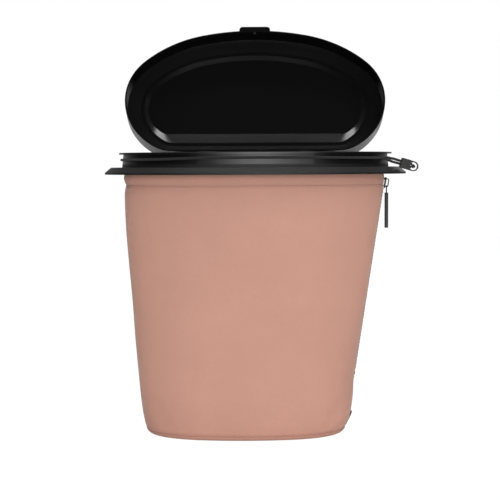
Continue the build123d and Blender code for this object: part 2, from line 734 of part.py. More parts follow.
def strand(points, name):
    """Cord strand through the given points, its corners rounded as far as they allow."""
    corners = [Vector(*point) for point in points]
    radii = []
    for before, corner, after in zip(corners, corners[1:], corners[2:]):
        turn = radians((corner - before).get_angle(after - corner))
        shorter = min((corner - before).length, (after - corner).length)
        radii.append(STRAND_BEND_SHARE * shorter / tan(turn / 2))
    print(name, "bend radii", [round(radius, 1) for radius in radii])
    path = FilletPolyline(*corners, radius=radii)
    start = Plane(origin=corners[0], z_dir=corners[1] - corners[0])
    tube = sweep(start * Circle(CORD_DIAMETER / 2), path=path)
    full_volume = pi * CORD_DIAMETER**2 / 4 * path.length
    print(name, "volume share", round(tube.volume / full_volume, 3))
    return tube


def make_strand_front():
    """End of the cord that comes round the front of the neck to the lock."""
    start, heading = cord_point(-CORD_FRONT_END_DEG)
    entry = lock_point(0, -CORD_SPACING / 2)
    inner = lock_point(-STRAND_LOCK_LEAD, -CORD_SPACING / 2)
    bend = inner + Vector(*STRAND_FRONT_BEND)
    points = [start, start + heading * STRAND_FRONT_LEAD, bend, inner, entry]
    return strand(points, "strand_front")


def make_strand_back():
    """End of the cord that comes round the back of the neck to the lock."""
    start, heading = cord_point(-CORD_BACK_END_DEG)
    entry = lock_point(0, CORD_SPACING / 2)
    inner = lock_point(-STRAND_LOCK_LEAD, CORD_SPACING / 2)
    bend = inner + Vector(*STRAND_BACK_BEND)
    points = [start, start - heading * STRAND_BACK_LEAD, bend, inner, entry]
    return strand(points, "strand_back")


def lock_barrel(radius, y_low, y_high):
    """Round space along Y at the plunger's place in the lock."""
    length = y_high - y_low
    return Pos(PLUNGER_U, (y_low + y_high) / 2, 0) * Rot(90, 0, 0) * Cylinder(radius, length)


def cord_channel(u_low, u_high, clearance):
    """Space for the two cords, one over the other, along the lock."""
    half_y = CORD_DIAMETER / 2 + clearance
    half_w = CORD_SPACING / 2 + CORD_DIAMETER / 2 + clearance
    return block(u_low, u_high, -half_y, half_y, -half_w, half_w)


def make_lock_body():
    """Cord lock: a housing with a plunger bore and cord channel, and an eye at its outer end."""
    half = LOCK_HEIGHT / 2
    eye_u = LOCK_LENGTH - half
    housing = block(0, eye_u - EYE_RADIUS, -LOCK_FRONT, LOCK_BACK, -half, half)
    housing = fillet(housing.edges().filter_by(Axis.Y), EDGE_ROUND)
    plate = block(EDGE_ROUND, eye_u, -EYE_PLATE / 2, EYE_PLATE / 2, -half, half)
    plate = plate + Pos(eye_u, 0, 0) * Rot(90, 0, 0) * Cylinder(half, EYE_PLATE)
    body = housing + plate
    body = body - Pos(eye_u, 0, 0) * Rot(90, 0, 0) * Cylinder(EYE_RADIUS, OVERSIZE)
    bore = lock_barrel(PLUNGER_RADIUS + PLUNGER_CLEARANCE, -LOCK_FRONT + LOCK_FRONT_WALL, OVERSIZE)
    body = body - bore - cord_channel(-LOCK_LENGTH, eye_u, CORD_CLEARANCE)
    return on_lock(body)


def plunger_front():
    """How far forward the plunger reaches, just in front of the cords."""
    return -CORD_DIAMETER / 2 - CORD_CLEARANCE - PLUNGER_WALL


def make_plunger():
    """Push button with a window that the cords run through."""
    button_back = LOCK_BACK + PLUNGER_PROUD
    plunger = lock_barrel(PLUNGER_RADIUS, plunger_front(), button_back)
    window = cord_channel(-LOCK_LENGTH, 2 * LOCK_LENGTH, CORD_CLEARANCE)
    travel_room = Pos(0, PLUNGER_TRAVEL, 0) * window
    return on_lock(plunger - window - travel_room)


def make_lock_spring():
    """Coil spring between the lock's front wall and the plunger."""
    low = -LOCK_FRONT + LOCK_FRONT_WALL + SPRING_WIRE / 2 + LAYER_GAP / 2
    high = plunger_front() - SPRING_WIRE / 2 - LAYER_GAP / 2
    pitch = (high - low) / SPRING_TURNS
    coil_path = Helix(pitch=pitch, height=high - low, radius=SPRING_RADIUS)
    start = Plane(origin=coil_path @ 0, z_dir=coil_path % 0)
    coil = sweep(start * Circle(SPRING_WIRE / 2), path=coil_path)
    print("spring gap between turns", round(pitch - SPRING_WIRE, 2))
    return on_lock(Pos(PLUNGER_U, low, 0) * Rot(-90, 0, 0) * coil)


def make_cord_tail():
    """Cord inside the lock, and the knot that shows in its eye."""
    eye_u = LOCK_LENGTH - LOCK_HEIGHT / 2
    tails = []
    for level in (-1, 1):
        middle = eye_u / 2
        cord = Rot(0, 90, 0) * Cylinder(CORD_DIAMETER / 2, eye_u - 2 * LAYER_GAP)
        tails.append(Pos(middle, 0, level * CORD_SPACING / 2) * cord)
    knot = Pos(eye_u, 0, 0) * Sphere(KNOT_RADIUS)
    tail = tails[0] + tails[1] + knot
    return on_lock(tail)


def make_label():
    """Blank folded label, sewn flat over the foot of the right side seam."""
    tab = bag_shell(-LABEL_GAP - LABEL_THICKNESS, -LABEL_GAP, LABEL_LOW_Z, LABEL_HIGH_Z)
    return tab & block(0, OVERSIZE, 0, LABEL_DEPTH, -OVERSIZE, OVERSIZE)


def main():
    os.makedirs("parts", exist_ok=True)
    nodes = {
        "collar": make_collar(),
        "hinge_pin_left": make_hinge_pin(-1),
        "hinge_pin_right": make_hinge_pin(1),
        "lid": make_lid(),
        "bag_front_panel": make_panel(-1),
        "bag_back_panel": make_panel(1),
        "bag_hem": make_hem(),
        "loop_tape": make_tape(LOOP_INSET),
        "hook_tape": make_tape(HOOK_INSET),
        "base_panel": make_base_panel(),
        "base_board": make_base_board(),
        "base_binding": make_base_binding(),
        "zip_tape_front": make_zip_tape(-1),
        "zip_tape_back": make_zip_tape(1),
        "zip_teeth_front": make_teeth(-1),
        "zip_teeth_back": make_teeth(1),
        "zip_top_stops": make_top_stops(),
        "zip_bottom_stop": make_bottom_stop(),
        "zip_slider": make_slider(),
        "zip_pull_link": make_link(),
        "zip_pull_bar": make_pull_bar(),
        "elastic_cord": make_cord_ring(),
        "cord_strand_front": make_strand_front(),
        "cord_strand_back": make_strand_back(),
        "cord_tail": make_cord_tail(),
        "cord_lock_body": make_lock_body(),
        "cord_lock_plunger": make_plunger(),
        "cord_lock_spring": make_lock_spring(),
        "side_label": make_label(),
    }
    for name, solid in nodes.items():
        export_step(solid, os.path.join("parts", name + ".step"))


main()
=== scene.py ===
from math import asin, cos, degrees, hypot, pi, radians, sin

import bpy
from mathutils import Matrix, Vector, noise


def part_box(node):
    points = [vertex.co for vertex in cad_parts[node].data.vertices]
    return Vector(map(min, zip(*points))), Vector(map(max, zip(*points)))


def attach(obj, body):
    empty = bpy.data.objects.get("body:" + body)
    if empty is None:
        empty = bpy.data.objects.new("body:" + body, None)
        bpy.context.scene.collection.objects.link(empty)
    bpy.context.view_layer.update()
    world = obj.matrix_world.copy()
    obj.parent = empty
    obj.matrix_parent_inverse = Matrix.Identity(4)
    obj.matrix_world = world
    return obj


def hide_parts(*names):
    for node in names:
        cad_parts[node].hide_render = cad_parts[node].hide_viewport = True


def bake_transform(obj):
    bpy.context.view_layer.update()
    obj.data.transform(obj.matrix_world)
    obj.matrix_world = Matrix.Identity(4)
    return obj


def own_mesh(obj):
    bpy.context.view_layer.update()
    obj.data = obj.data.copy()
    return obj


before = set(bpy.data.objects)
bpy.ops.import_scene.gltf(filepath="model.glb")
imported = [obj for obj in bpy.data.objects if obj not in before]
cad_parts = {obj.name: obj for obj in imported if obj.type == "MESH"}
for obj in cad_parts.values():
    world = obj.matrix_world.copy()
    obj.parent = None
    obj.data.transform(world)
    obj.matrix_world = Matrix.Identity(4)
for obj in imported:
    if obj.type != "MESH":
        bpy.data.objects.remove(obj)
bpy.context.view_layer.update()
MM = 0.001

# Plan outline of the lid's rim in millimetres, from the front centre to the back
# Radius and sweep of each arc; the front arcs end at the widest point
OUTLINE_ARCS = [(295.0, 12.2), (149.0, 29.5), (67.0, 48.3), (71.5, 61.5), (40.0, 28.5)]
FRONT_ARCS = 3
HALF_WIDTH = 152.402

# Steps along each arc and across the flat back, and the column of faces that lies at the zip
ARC_COUNTS = [18, 22, 20, 24, 8]
BACK_COUNT = 44
SLOT_COLUMN = sum(ARC_COUNTS[:FRONT_ARCS])

# Bag in millimetres
CLOTH = 1.6
BAG_TOP_INSET = 11.6
BAG_TOP_Z = 288.7
HEM_FOOT_Z = 271.6
SEAM_Z = 4.5
SOLE_INSET = 5.0
TOP_HALF_WIDTH = HALF_WIDTH - BAG_TOP_INSET
RIGHT_SIDE_SLOPE = 0.153
BACK_SIDE_SLOPE = 0.02
ZIP_BOTTOM_Z = 60.0
ZIP_SLOT_HALF = 2.9
GARAGE_HALF = 5.2
FOOT_FULLNESS = 2.3
FOOT_ROUNDING = 4.0
FRONT_FULLNESS = 4.5
CORNER_FULLNESS = 7.0
FULLNESS_TOP_Z = 190.0
FOOT_FULL_BELOW_Z = 30.0
FOOT_ROUND_BELOW_Z = 19.0
FULLNESS_PAST_ZIP = 4.0
FRONT_FADE = (4.0, 45.0)

# Left side of the bag as (height, x), the way the cloth hangs in the photograph
LEFT_SIDE = [
    (0.0, -119.5),
    (4.5, -122.0),
    (25.0, -126.2),
    (65.0, -130.2),
    (105.0, -133.5),
    (144.0, -136.0),
    (184.0, -139.4),
    (224.0, -142.3),
    (262.0, -143.4),
    (271.6, -142.2),
    (280.0, -143.9),
    (288.7, -141.6),
]


def smooth_step(low, high, value):
    """0 below low, 1 above high, and a soft S between them."""
    share = min(1.0, max(0.0, (value - low) / (high - low)))
    return share * share * (3.0 - 2.0 * share)


def curve_value(points, at):
    """Smooth value of a list of (position, value) points at a position."""
    if at <= points[0][0]:
        return points[0][1]
    for index in range(len(points) - 1):
        if at <= points[index + 1][0]:
            break
    else:
        return points[-1][1]
    before = points[max(0, index - 1)]
    start = points[index]
    end = points[index + 1]
    after = points[min(len(points) - 1, index + 2)]
    share = (at - start[0]) / (end[0] - start[0])
    slope_start = (end[1] - before[1]) / (end[0] - before[0]) * (end[0] - start[0])
    slope_end = (after[1] - start[1]) / (after[0] - start[0]) * (end[0] - start[0])
    square = share * share
    cube = square * share
    return (
        (2 * cube - 3 * square + 1) * start[1]
        + (cube - 2 * square + share) * slope_start
        + (3 * square - 2 * cube) * end[1]
        + (cube - square) * slope_end
    )


def right_side(z):
    """Where the bag's right side lies at height z: straight along the zip, fuller below it."""
    fullness = FOOT_FULLNESS * (1.0 - smooth_step(FOOT_FULL_BELOW_Z, ZIP_BOTTOM_Z + FULLNESS_PAST_ZIP, z))
    rounding = FOOT_ROUNDING * (1.0 - smooth_step(0.0, FOOT_ROUND_BELOW_Z, z))
    return TOP_HALF_WIDTH - RIGHT_SIDE_SLOPE * max(0.0, HEM_FOOT_Z - z) + fullness - rounding


def outline_reach(arcs):
    """Distance back from the widest point to the flat rear of an outline."""
    heading = 90.0
    reach = 0.0
    for radius, sweep in arcs[FRONT_ARCS:]:
        reach += radius * (cos(radians(heading)) - cos(radians(heading + sweep)))
        heading += sweep
    return reach


def bag_arcs(z, half_width, inset):
    """The bag's outline arcs at height z, drawn in by an inset."""
    top = [(radius - BAG_TOP_INSET, sweep) for radius, sweep in OUTLINE_ARCS]
    reach = outline_reach(top)
    rear_scale = 1.0 - BACK_SIDE_SLOPE * max(0.0, HEM_FOOT_Z - z) / reach
    front_scale = half_width / TOP_HALF_WIDTH
    scales = [front_scale] * FRONT_ARCS + [rear_scale] * (len(top) - FRONT_ARCS)
    return [(radius * scale - inset, sweep) for (radius, sweep), scale in zip(top, scales)]


def arc_walk(arcs, counts, gap):
    """Half an outline from front centre to rear end: x, y and outward heading of each sample.
    The samples beside the widest point stand at a gap in front of it and behind it."""
    samples = []
    x = 0.0
    y = -sum_front(arcs)
    heading = 0.0
    for index, ((radius, sweep), count) in enumerate(zip(arcs, counts)):
        first = 0.0
        last = sweep
        if index == FRONT_ARCS - 1:
            last = sweep - degrees(asin(gap / radius))
        if index == FRONT_ARCS:
            first = degrees(asin(gap / radius))
        for step in range(count + 1):
            if step == 0 and index not in (0, FRONT_ARCS):
                continue
            angle = heading + first + (last - first) * step / count
            px = x + radius * (sin(radians(angle)) - sin(radians(heading)))
            py = y + radius * (cos(radians(heading)) - cos(radians(angle)))
            samples.append((px, py, angle))
        x += radius * (sin(radians(heading + sweep)) - sin(radians(heading)))
        y += radius * (cos(radians(heading)) - cos(radians(heading + sweep)))
        heading += sweep
    return samples


def sum_front(arcs):
    """Depth from the widest point to the front centre."""
    heading = 0.0
    depth = 0.0
    for radius, sweep in arcs[:FRONT_ARCS]:
        depth += radius * (cos(radians(heading)) - cos(radians(heading + sweep)))
        heading += sweep
    return depth


def ring_points(arcs, shift, gap=ZIP_SLOT_HALF):
    """One closed ring round the bag: x, y and outward direction, starting at the front centre towards +X."""
    walk = arc_walk(arcs, ARC_COUNTS, gap)
    right = [(shift + x, y, sin(radians(a)), -cos(radians(a))) for x, y, a in walk]
    left = [(shift - x, y, -sin(radians(a)), -cos(radians(a))) for x, y, a in walk]
    rear_right = right[-1]
    rear_left = left[-1]
    back = []
    for step in range(1, BACK_COUNT):
        share = step / BACK_COUNT
        x = rear_right[0] + (rear_left[0] - rear_right[0]) * share
        y = rear_right[1] + (rear_left[1] - rear_right[1]) * share
        back.append((x, y, 0.0, 1.0))
    return right + back + list(reversed(left[1:]))


def bag_ring(z, inset=0.0, gap=ZIP_SLOT_HALF):
    """The bag's ring at height z, following the zip's line on the right and the hang of the left side."""
    left = curve_value(LEFT_SIDE, z)
    right = right_side(z)
    half_width = (right - left) / 2
    ring = ring_points(bag_arcs(z, half_width, inset), (right + left) / 2, gap)
    return fill_front(ring, z, half_width, (right + left) / 2)


def fill_front(ring, z, half_width, middle):
    """The ring with its front pushed out towards the foot, most of all beside its middle."""
    share = 1.0 - smooth_step(SEAM_Z, FULLNESS_TOP_Z, z)
    if share == 0.0:
        return ring
    filled = []
    for x, y, nx, ny in ring:
        across = min(1.0, abs(x - middle) / half_width)
        push = FRONT_FULLNESS + CORNER_FULLNESS * across * across
        filled.append((x, y - share * push * smooth_step(*FRONT_FADE, -y), nx, ny))
    return filled


def new_piece(name, verts, faces, uvs, wrap=None):
    """Mesh object from points in millimetres, with one texture point per vertex.
    A face whose texture points lie further apart than half of wrap gets the low ones moved by wrap."""
    mesh = bpy.data.meshes.new(name)
    mesh.from_pydata([tuple(c * MM for c in v) for v in verts], [], faces)
    layer = mesh.uv_layers.new(name="UVMap")
    for polygon in mesh.polygons:
        polygon.use_smooth = True
        furthest = max(uvs[vertex][0] for vertex in polygon.vertices)
        for loop, vertex in zip(polygon.loop_indices, polygon.vertices):
            u, v = uvs[vertex]
            if wrap and furthest - u > wrap / 2:
                u += wrap
            layer.data[loop].uv = (u, v)
    mesh.update()
    piece = bpy.data.objects.new(name, mesh)
    bpy.context.scene.collection.objects.link(piece)
    return piece


def finish_piece(piece, body, material, slot, *nodes):
    """Give a piece its material and body, and hide the CAD nodes that it stands for."""
    piece.data.materials.clear()
    piece.data.materials.append(material)
    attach(piece, body)
    if nodes:
        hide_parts(*nodes)
    return piece


def apply_modifiers(piece):
    """Replace a piece's mesh by its modified one."""
    graph = bpy.context.evaluated_depsgraph_get()
    mesh = bpy.data.meshes.new_from_object(piece.evaluated_get(graph))
    piece.modifiers.clear()
    piece.data = mesh
    return piece


def thicken(piece, thickness, offset=-1.0, bevel=0.0):
    """Give a surface its cloth thickness, with softened edges."""
    solid = piece.modifiers.new("Thickness", "SOLIDIFY")
    solid.thickness = thickness * MM
    solid.offset = offset
    if bevel:
        edge = piece.modifiers.new("Edge", "BEVEL")
        edge.width = bevel * MM
        edge.segments = 2
        edge.limit_method = "ANGLE"
        edge.angle_limit = radians(50)
    return apply_modifiers(piece)


# Materials

class Nodes:
    """Small helper that adds and joins the nodes of one material."""

    def __init__(self, name):
        self.material = bpy.data.materials.new(name)
        self.material.use_nodes = True
        self.tree = self.material.node_tree
        self.tree.nodes.clear()
        self.shader = self.add("ShaderNodeBsdfPrincipled")
        output = self.add("ShaderNodeOutputMaterial")
        self.join(self.shader, "BSDF", output, "Surface")

    def add(self, kind, **settings):
        node = self.tree.nodes.new(kind)
        for key, value in settings.items():
            setattr(node, key, value)
        return node

    def join(self, source, out, target, into):
        self.tree.links.new(source.outputs[out], target.inputs[into])

    def math(self, operation, first, second=None, clamp=False):
        node = self.add("ShaderNodeMath", operation=operation, use_clamp=clamp)
        for index, value in enumerate((first, second)):
            if value is None:
                continue
            if isinstance(value, (int, float)):
                node.inputs[index].default_value = value
            else:
                self.tree.links.new(value, node.inputs[index])
        return node.outputs[0]

    def noise(self, scale, detail=2.0, roughness=0.5, vector=None):
        node = self.add("ShaderNodeTexNoise")
        node.inputs["Scale"].default_value = scale
        node.inputs["Detail"].default_value = detail
        node.inputs["Roughness"].default_value = roughness
        if vector is not None:
            self.tree.links.new(vector, node.inputs["Vector"])
        return node.outputs["Fac"]

    def ramp(self, factor, low, high, low_at=0.0, high_at=1.0):
        node = self.add("ShaderNodeValToRGB")
        node.color_ramp.elements[0].position = low_at
        node.color_ramp.elements[1].position = high_at
        node.color_ramp.elements[0].color = (*low, 1.0)
        node.color_ramp.elements[1].color = (*high, 1.0)
        self.tree.links.new(factor, node.inputs["Fac"])
        return node.outputs["Color"]

    def span(self, factor, low, high):
        node = self.add("ShaderNodeMapRange")
        node.inputs["To Min"].default_value = low
        node.inputs["To Max"].default_value = high
        self.tree.links.new(factor, node.inputs["Value"])
        return node.outputs["Result"]

    def bump(self, height, strength, distance):
        node = self.add("ShaderNodeBump")
        node.inputs["Strength"].default_value = strength
        node.inputs["Distance"].default_value = distance
        self.tree.links.new(height, node.inputs["Height"])
        self.tree.links.new(node.outputs["Normal"], self.shader.inputs["Normal"])

    def place(self, kind="Object"):
        return self.add("ShaderNodeTexCoord").outputs[kind]

    def axes(self, vector):
        node = self.add("ShaderNodeSeparateXYZ")
        self.tree.links.new(vector, node.inputs[0])
        return node.outputs[0], node.outputs[1], node.outputs[2]

    def set(self, **values):
        for key, value in values.items():
            self.shader.inputs[key.replace("_", " ")].default_value = value

    def colour(self, output):
        self.tree.links.new(output, self.shader.inputs["Base Color"])

    def rough(self, output):
        self.tree.links.new(output, self.shader.inputs["Roughness"])


def scaled(colour, factor):
    """A colour made lighter or darker."""
    return tuple(channel * factor for channel in colour)


def twill(name, colour, pitch, rise, contrast, sheen=0.15):
    """Woven cloth with fine diagonal ribs of a given pitch in metres, read from the piece's own lengths."""
    cloth = Nodes(name)
    along, up, _ = cloth.axes(cloth.place("UV"))
    slant = cloth.math("SUBTRACT", along, cloth.math("MULTIPLY", up, rise))
    phase = cloth.math("MULTIPLY", slant, 2 * pi / pitch)
    ribs = cloth.span(cloth.math("SINE", phase), 0.0, 1.0)
    cross = cloth.math("MULTIPLY", cloth.math("ADD", along, up), 2 * pi / (0.8 * pitch))
    yarn = cloth.span(cloth.math("SINE", cross), 0.0, 1.0)
    weave = cloth.math("ADD", cloth.math("MULTIPLY", ribs, 0.65), cloth.math("MULTIPLY", yarn, 0.35))
    mottle = cloth.noise(14.0, 4.0, 0.6, cloth.place("Object"))
    fibre = cloth.noise(900.0, 3.0, 0.6, cloth.place("Object"))
    tone = cloth.math("ADD", weave, cloth.math("MULTIPLY", cloth.math("SUBTRACT", mottle, 0.5), 0.9))
    tone = cloth.math("ADD", tone, cloth.math("MULTIPLY", cloth.math("SUBTRACT", fibre, 0.5), 0.7))
    cloth.colour(cloth.ramp(tone, scaled(colour, 1 - contrast), scaled(colour, 1 + contrast)))
    cloth.rough(cloth.span(fibre, 0.72, 0.88))
    cloth.bump(cloth.math("ADD", weave, cloth.math("MULTIPLY", fibre, 0.5)), 0.35, 0.00025)
    cloth.set(Sheen_Weight=sheen, Sheen_Roughness=0.4, Specular_IOR_Level=0.22)
    return cloth.material


def woven_tape(name, colour, pitch):
    """Flat woven tape with a fine herringbone."""
    tape = Nodes(name)
    along, up, _ = tape.axes(tape.place("UV"))
    zigzag = tape.math("PINGPONG", along, pitch * 3)
    phase = tape.math("MULTIPLY", tape.math("ADD", up, zigzag), 2 * pi / pitch)
    ribs = tape.span(tape.math("SINE", phase), 0.0, 1.0)
    grain = tape.noise(700.0, 2.0, 0.5, tape.place("Object"))
    tone = tape.math("ADD", tape.math("MULTIPLY", ribs, 0.6), tape.math("MULTIPLY", grain, 0.4))
    tape.colour(tape.ramp(tone, scaled(colour, 0.7), scaled(colour, 1.3)))
    tape.rough(tape.span(grain, 0.7, 0.9))
    tape.bump(ribs, 0.5, 0.0002)
    tape.set(Sheen_Weight=0.1)
    return tape.material


def moulded(name, colour, roughness, grain_scale, grain, specular=0.5, matt=(0.0, 0.0)):
    """Moulded plastic with a fine surface grain and faint handling variation.
    Below the height matt[0], in metres, its roughness is matt[1] more."""
    plastic = Nodes(name)
    spot = plastic.place("Object")
    broad = plastic.noise(9.0, 2.0, 0.45, spot)
    fine = plastic.noise(grain_scale, 2.0, 0.5, spot)
    plastic.colour(plastic.ramp(fine, scaled(colour, 0.85), scaled(colour, 1.15), 0.3, 0.7))
    below = plastic.math("LESS_THAN", plastic.axes(spot)[2], matt[0])
    rough = plastic.math("ADD", plastic.span(broad, -0.03, 0.03), roughness)
    plastic.rough(plastic.math("ADD", rough, plastic.math("MULTIPLY", below, matt[1])))
    plastic.bump(fine, grain, 0.00012)
    plastic.set(Specular_IOR_Level=specular)
    return plastic.material


def metal(name, colour, roughness, stretch):
    """Steel with a fine grain, which a stretch below 1 draws out into lines along X."""
    steel = Nodes(name)
    place = steel.add("ShaderNodeMapping")
    place.inputs["Scale"].default_value = (stretch, 1.0, 1.0)
    steel.tree.links.new(steel.place("Object"), place.inputs["Vector"])
    lines = steel.noise(1800.0, 3.0, 0.6, place.outputs["Vector"])
    steel.colour(steel.ramp(lines, scaled(colour, 0.85), scaled(colour, 1.1)))
    steel.rough(steel.span(lines, roughness - 0.06, roughness + 0.08))
    steel.bump(lines, 0.15, 0.00005)
    steel.set(Metallic=1.0)
    return steel.material


def painted(name, colour, roughness):
    """Painted die casting with a slight orange-peel surface."""
    paint = Nodes(name)
    spot = paint.place("Object")
    peel = paint.noise(1400.0, 2.0, 0.5, spot)
    wear = paint.noise(260.0, 4.0, 0.65, spot)
    paint.colour(paint.ramp(wear, scaled(colour, 0.8), scaled(colour, 1.5), 0.35, 0.75))
    paint.rough(paint.span(wear, roughness - 0.06, roughness + 0.1))
    paint.bump(peel, 0.2, 0.0001)
    paint.set(Specular_IOR_Level=0.35)
    return paint.material


def braid(name, colour, pitch):
    """Braided sheath of an elastic cord: two crossing sets of yarns."""
    cord = Nodes(name)
    along, around, _ = cord.axes(cord.place("UV"))
    one = cord.math("MULTIPLY", cord.math("ADD", along, around), 2 * pi / pitch)
    two = cord.math("MULTIPLY", cord.math("SUBTRACT", along, around), 2 * pi / pitch)
    cross = cord.math("MULTIPLY", cord.math("SINE", one), cord.math("SINE", two))
    height = cord.span(cross, 0.0, 1.0)
    fuzz = cord.noise(1500.0, 3.0, 0.6, cord.place("Object"))
    tone = cord.math("ADD", cord.math("MULTIPLY", height, 0.7), cord.math("MULTIPLY", fuzz, 0.4))
    cord.colour(cord.ramp(tone, scaled(colour, 0.6), scaled(colour, 1.8)))
    cord.rough(cord.span(fuzz, 0.6, 0.8))
    cord.bump(height, 0.8, 0.0003)
    cord.set(Sheen_Weight=0.15)
    return cord.material


FABRIC_COLOUR = (0.572, 0.308, 0.237)
TWILL_PITCH = 0.0021
TWILL_RISE = 0.9
TWILL_CONTRAST = 0.11
COLLAR_MATT = (0.2943, 0.25)

fabric = twill("pink_twill", FABRIC_COLOUR, TWILL_PITCH, TWILL_RISE, TWILL_CONTRAST)
# Darker copy of the twill for the hem: painted shade of the lid's brim, which overhangs the hem
hem_fabric_painted_shade = twill("pink_twill_hem_painted_shade", scaled(FABRIC_COLOUR, 0.88), TWILL_PITCH, TWILL_RISE, TWILL_CONTRAST)
# Darker copy of the twill for the base: painted shade on the strip below the base seam
base_fabric_painted_shade = twill("pink_twill_base_painted_shade", scaled(FABRIC_COLOUR, 0.9), TWILL_PITCH, TWILL_RISE, TWILL_CONTRAST)
thread = woven_tape("pink_thread", (0.52, 0.28, 0.215), 0.0006)
zip_fabric = woven_tape("zip_tape_weave", (0.42, 0.22, 0.17), 0.0012)
black_tape = woven_tape("black_tape_weave", (0.02, 0.02, 0.021), 0.0012)
label_cloth = woven_tape("brown_label_weave", (0.10, 0.043, 0.028), 0.0007)
elastic = braid("black_elastic_braid", (0.014, 0.014, 0.015), 0.0014)
lid_black = moulded("black_lid_moulding", (0.0035, 0.0035, 0.0036), 0.2, 1600.0, 0.04)
collar_black = moulded(
    "black_collar_moulding", (0.003, 0.003, 0.0031), 0.31, 1600.0, 0.05, specular=0.38, matt=COLLAR_MATT
)
lock_plastic = moulded("black_lock_plastic", (0.006, 0.006, 0.005), 0.45, 2200.0, 0.12, 0.25)
grip = moulded("charcoal_grip", (0.040, 0.043, 0.043), 0.6, 2600.0, 0.2, 0.3)
teeth_plastic = moulded("brown_pink_teeth", (0.09, 0.042, 0.034), 0.4, 2400.0, 0.1)
board = moulded("grey_board", (0.06, 0.06, 0.058), 0.8, 900.0, 0.4, 0.3)
pin_metal = metal("drawn_steel", (0.6, 0.6, 0.61), 0.3, 0.05)
spring_metal = metal("spring_steel", (0.62, 0.62, 0.62), 0.25, 1.0)
black_metal = painted("black_painted_casting", (0.006, 0.006, 0.006), 0.45)


# Bag cloth

WALL_SLACK = 1.5
WALL_RIPPLE = 0.35
SLACK_FADE = 40.0
STILL_BESIDE_ZIP = (6.0, 26.0)
SEAM_DIP = 0.9
HEM_DIP = 0.4
ZIP_DIP = 0.6

# Soft folds on the front: x, z, direction in degrees, half width and depth, all in millimetres
BASE_FOLDS = [
    (84.0, 26.0, 58.0, 9.0, -1.3),
    (95.0, 20.0, 60.0, 7.0, 0.7),
    (-100.0, 22.0, 120.0, 10.0, -0.8),
]


def wrinkle(x, y, z):
    """Outward shift of the wall cloth in millimetres: slack, soft dents and a faint ripple."""
    top = smooth_step(SEAM_Z, SLACK_FADE, z) * (1.0 - smooth_step(HEM_FOOT_Z - SLACK_FADE, HEM_FOOT_Z, z))
    spot = Vector((x * 0.011, y * 0.011, z * 0.008))
    slack = noise.noise(spot) * WALL_SLACK
    spot = Vector((x * 0.034 + 7.0, y * 0.034, z * 0.026))
    ripple = noise.noise(spot) * WALL_RIPPLE
    return (slack + ripple) * top


def pinch(x, y, z):
    """Soft folds of the front, near the base corners."""
    fold = 0.0
    for corner_x, corner_z, turn, width, depth in BASE_FOLDS:
        along = (x - corner_x) * cos(radians(turn)) + (z - corner_z) * sin(radians(turn))
        across = -(x - corner_x) * sin(radians(turn)) + (z - corner_z) * cos(radians(turn))
        fade = smooth_step(-30.0, 0.0, along) * (1.0 - smooth_step(10.0, 45.0, along))
        ridge = max(0.0, 1.0 - (across / width) ** 2)
        fold += depth * fade * ridge * ridge
    return fold if y < 0 else 0.0


def front_shift(y):
    """Share of the wall that may move: nothing beside the zip."""
    return smooth_step(*STILL_BESIDE_ZIP, abs(y))


def wall_rows():
    """Heights of the wall's rows, closer together at the seams."""
    rows = []
    z = SEAM_Z
    while z < HEM_FOOT_Z:
        rows.append(z)
        near = min(z - SEAM_Z, HEM_FOOT_Z - z)
        z += 0.9 if near < 4.0 else 3.0
    rows.append(HEM_FOOT_Z)
    if ZIP_BOTTOM_Z not in rows:
        rows = sorted(rows + [ZIP_BOTTOM_Z])
    return rows


def seam_tuck(y, z):
    """How far the wall dips in at the base seam, at the hem's stitch line and beside the zip."""
    low = 1.0 - smooth_step(0.0, 3.6, z - SEAM_Z)
    high = 1.0 - smooth_step(0.0, 3.0, HEM_FOOT_Z - z)
    beside = (1.0 - smooth_step(3.0, 8.0, abs(y))) * smooth_step(ZIP_BOTTOM_Z - 12.0, ZIP_BOTTOM_Z, z)
    return -SEAM_DIP * low - HEM_DIP * high - ZIP_DIP * beside * (1.0 - high)


def wall_point(place, z):
    """Point of the wall cloth from its ring point and height."""
    x, y, nx, ny = place
    out = (wrinkle(x, y, z) + pinch(x, y, z)) * front_shift(y) + seam_tuck(y if x > 0 else HALF_WIDTH, z)
    return (x + nx * out, y + ny * out, z)


def ring_lengths(ring):
    """Length along a ring up to each of its points, and the whole."""
    lengths = [0.0]
    for before, after in zip(ring, ring[1:]):
        lengths.append(lengths[-1] + hypot(after[0] - before[0], after[1] - before[1]))
    closing = hypot(ring[0][0] - ring[-1][0], ring[0][1] - ring[-1][1])
    return lengths, lengths[-1] + closing


def loft(name, rows, point_at, skip=None):
    """Surface through closed rings, one per row. Its texture runs both ways from the front centre."""
    verts = []
    uvs = []
    faces = []
    for z in rows:
        ring, points = point_at(z)
        count = len(ring)
        lengths, whole = ring_lengths(ring)
        for index in range(count):
            along = lengths[index] if index <= count // 2 else lengths[index] - whole
            verts.append(points[index])
            uvs.append((along * MM, z * MM))
    for row in range(len(rows) - 1):
        middle = (rows[row] + rows[row + 1]) / 2
        for column in range(count):
            if skip and skip(column, middle):
                continue
            after = (column + 1) % count
            low = row * count
            high = low + count
            faces.append((low + column, low + after, high + after, high + column))
    return new_piece(name, verts, faces, uvs, wrap=whole * MM)


def in_zip_slot(column, z):
    """Whether a face of the wall lies in the zip's opening."""
    return column == SLOT_COLUMN and z > ZIP_BOTTOM_Z


def in_slot_column(column, _):
    """Whether a face of a band lies between its two ends at the zip."""
    return column == SLOT_COLUMN


HEM_ROWS = 12
HEM_FOOT_ROUNDING = 0.5
HEM_TOP_ROUNDING = 0.8
HEM_CROWN = 0.25


def make_wall():
    """Front and back cloth of the bag with its zip opening."""
    def point_at(z):
        ring = bag_ring(z)
        return ring, [wall_point(place, z) for place in ring]

    wall = loft("bag_cloth", wall_rows(), point_at, in_zip_slot)
    thicken(wall, CLOTH - 0.2, -1.0, 0.3)
    finish_piece(wall, "root", fabric, "bag_fabric", "bag_front_panel", "bag_back_panel")
    return wall


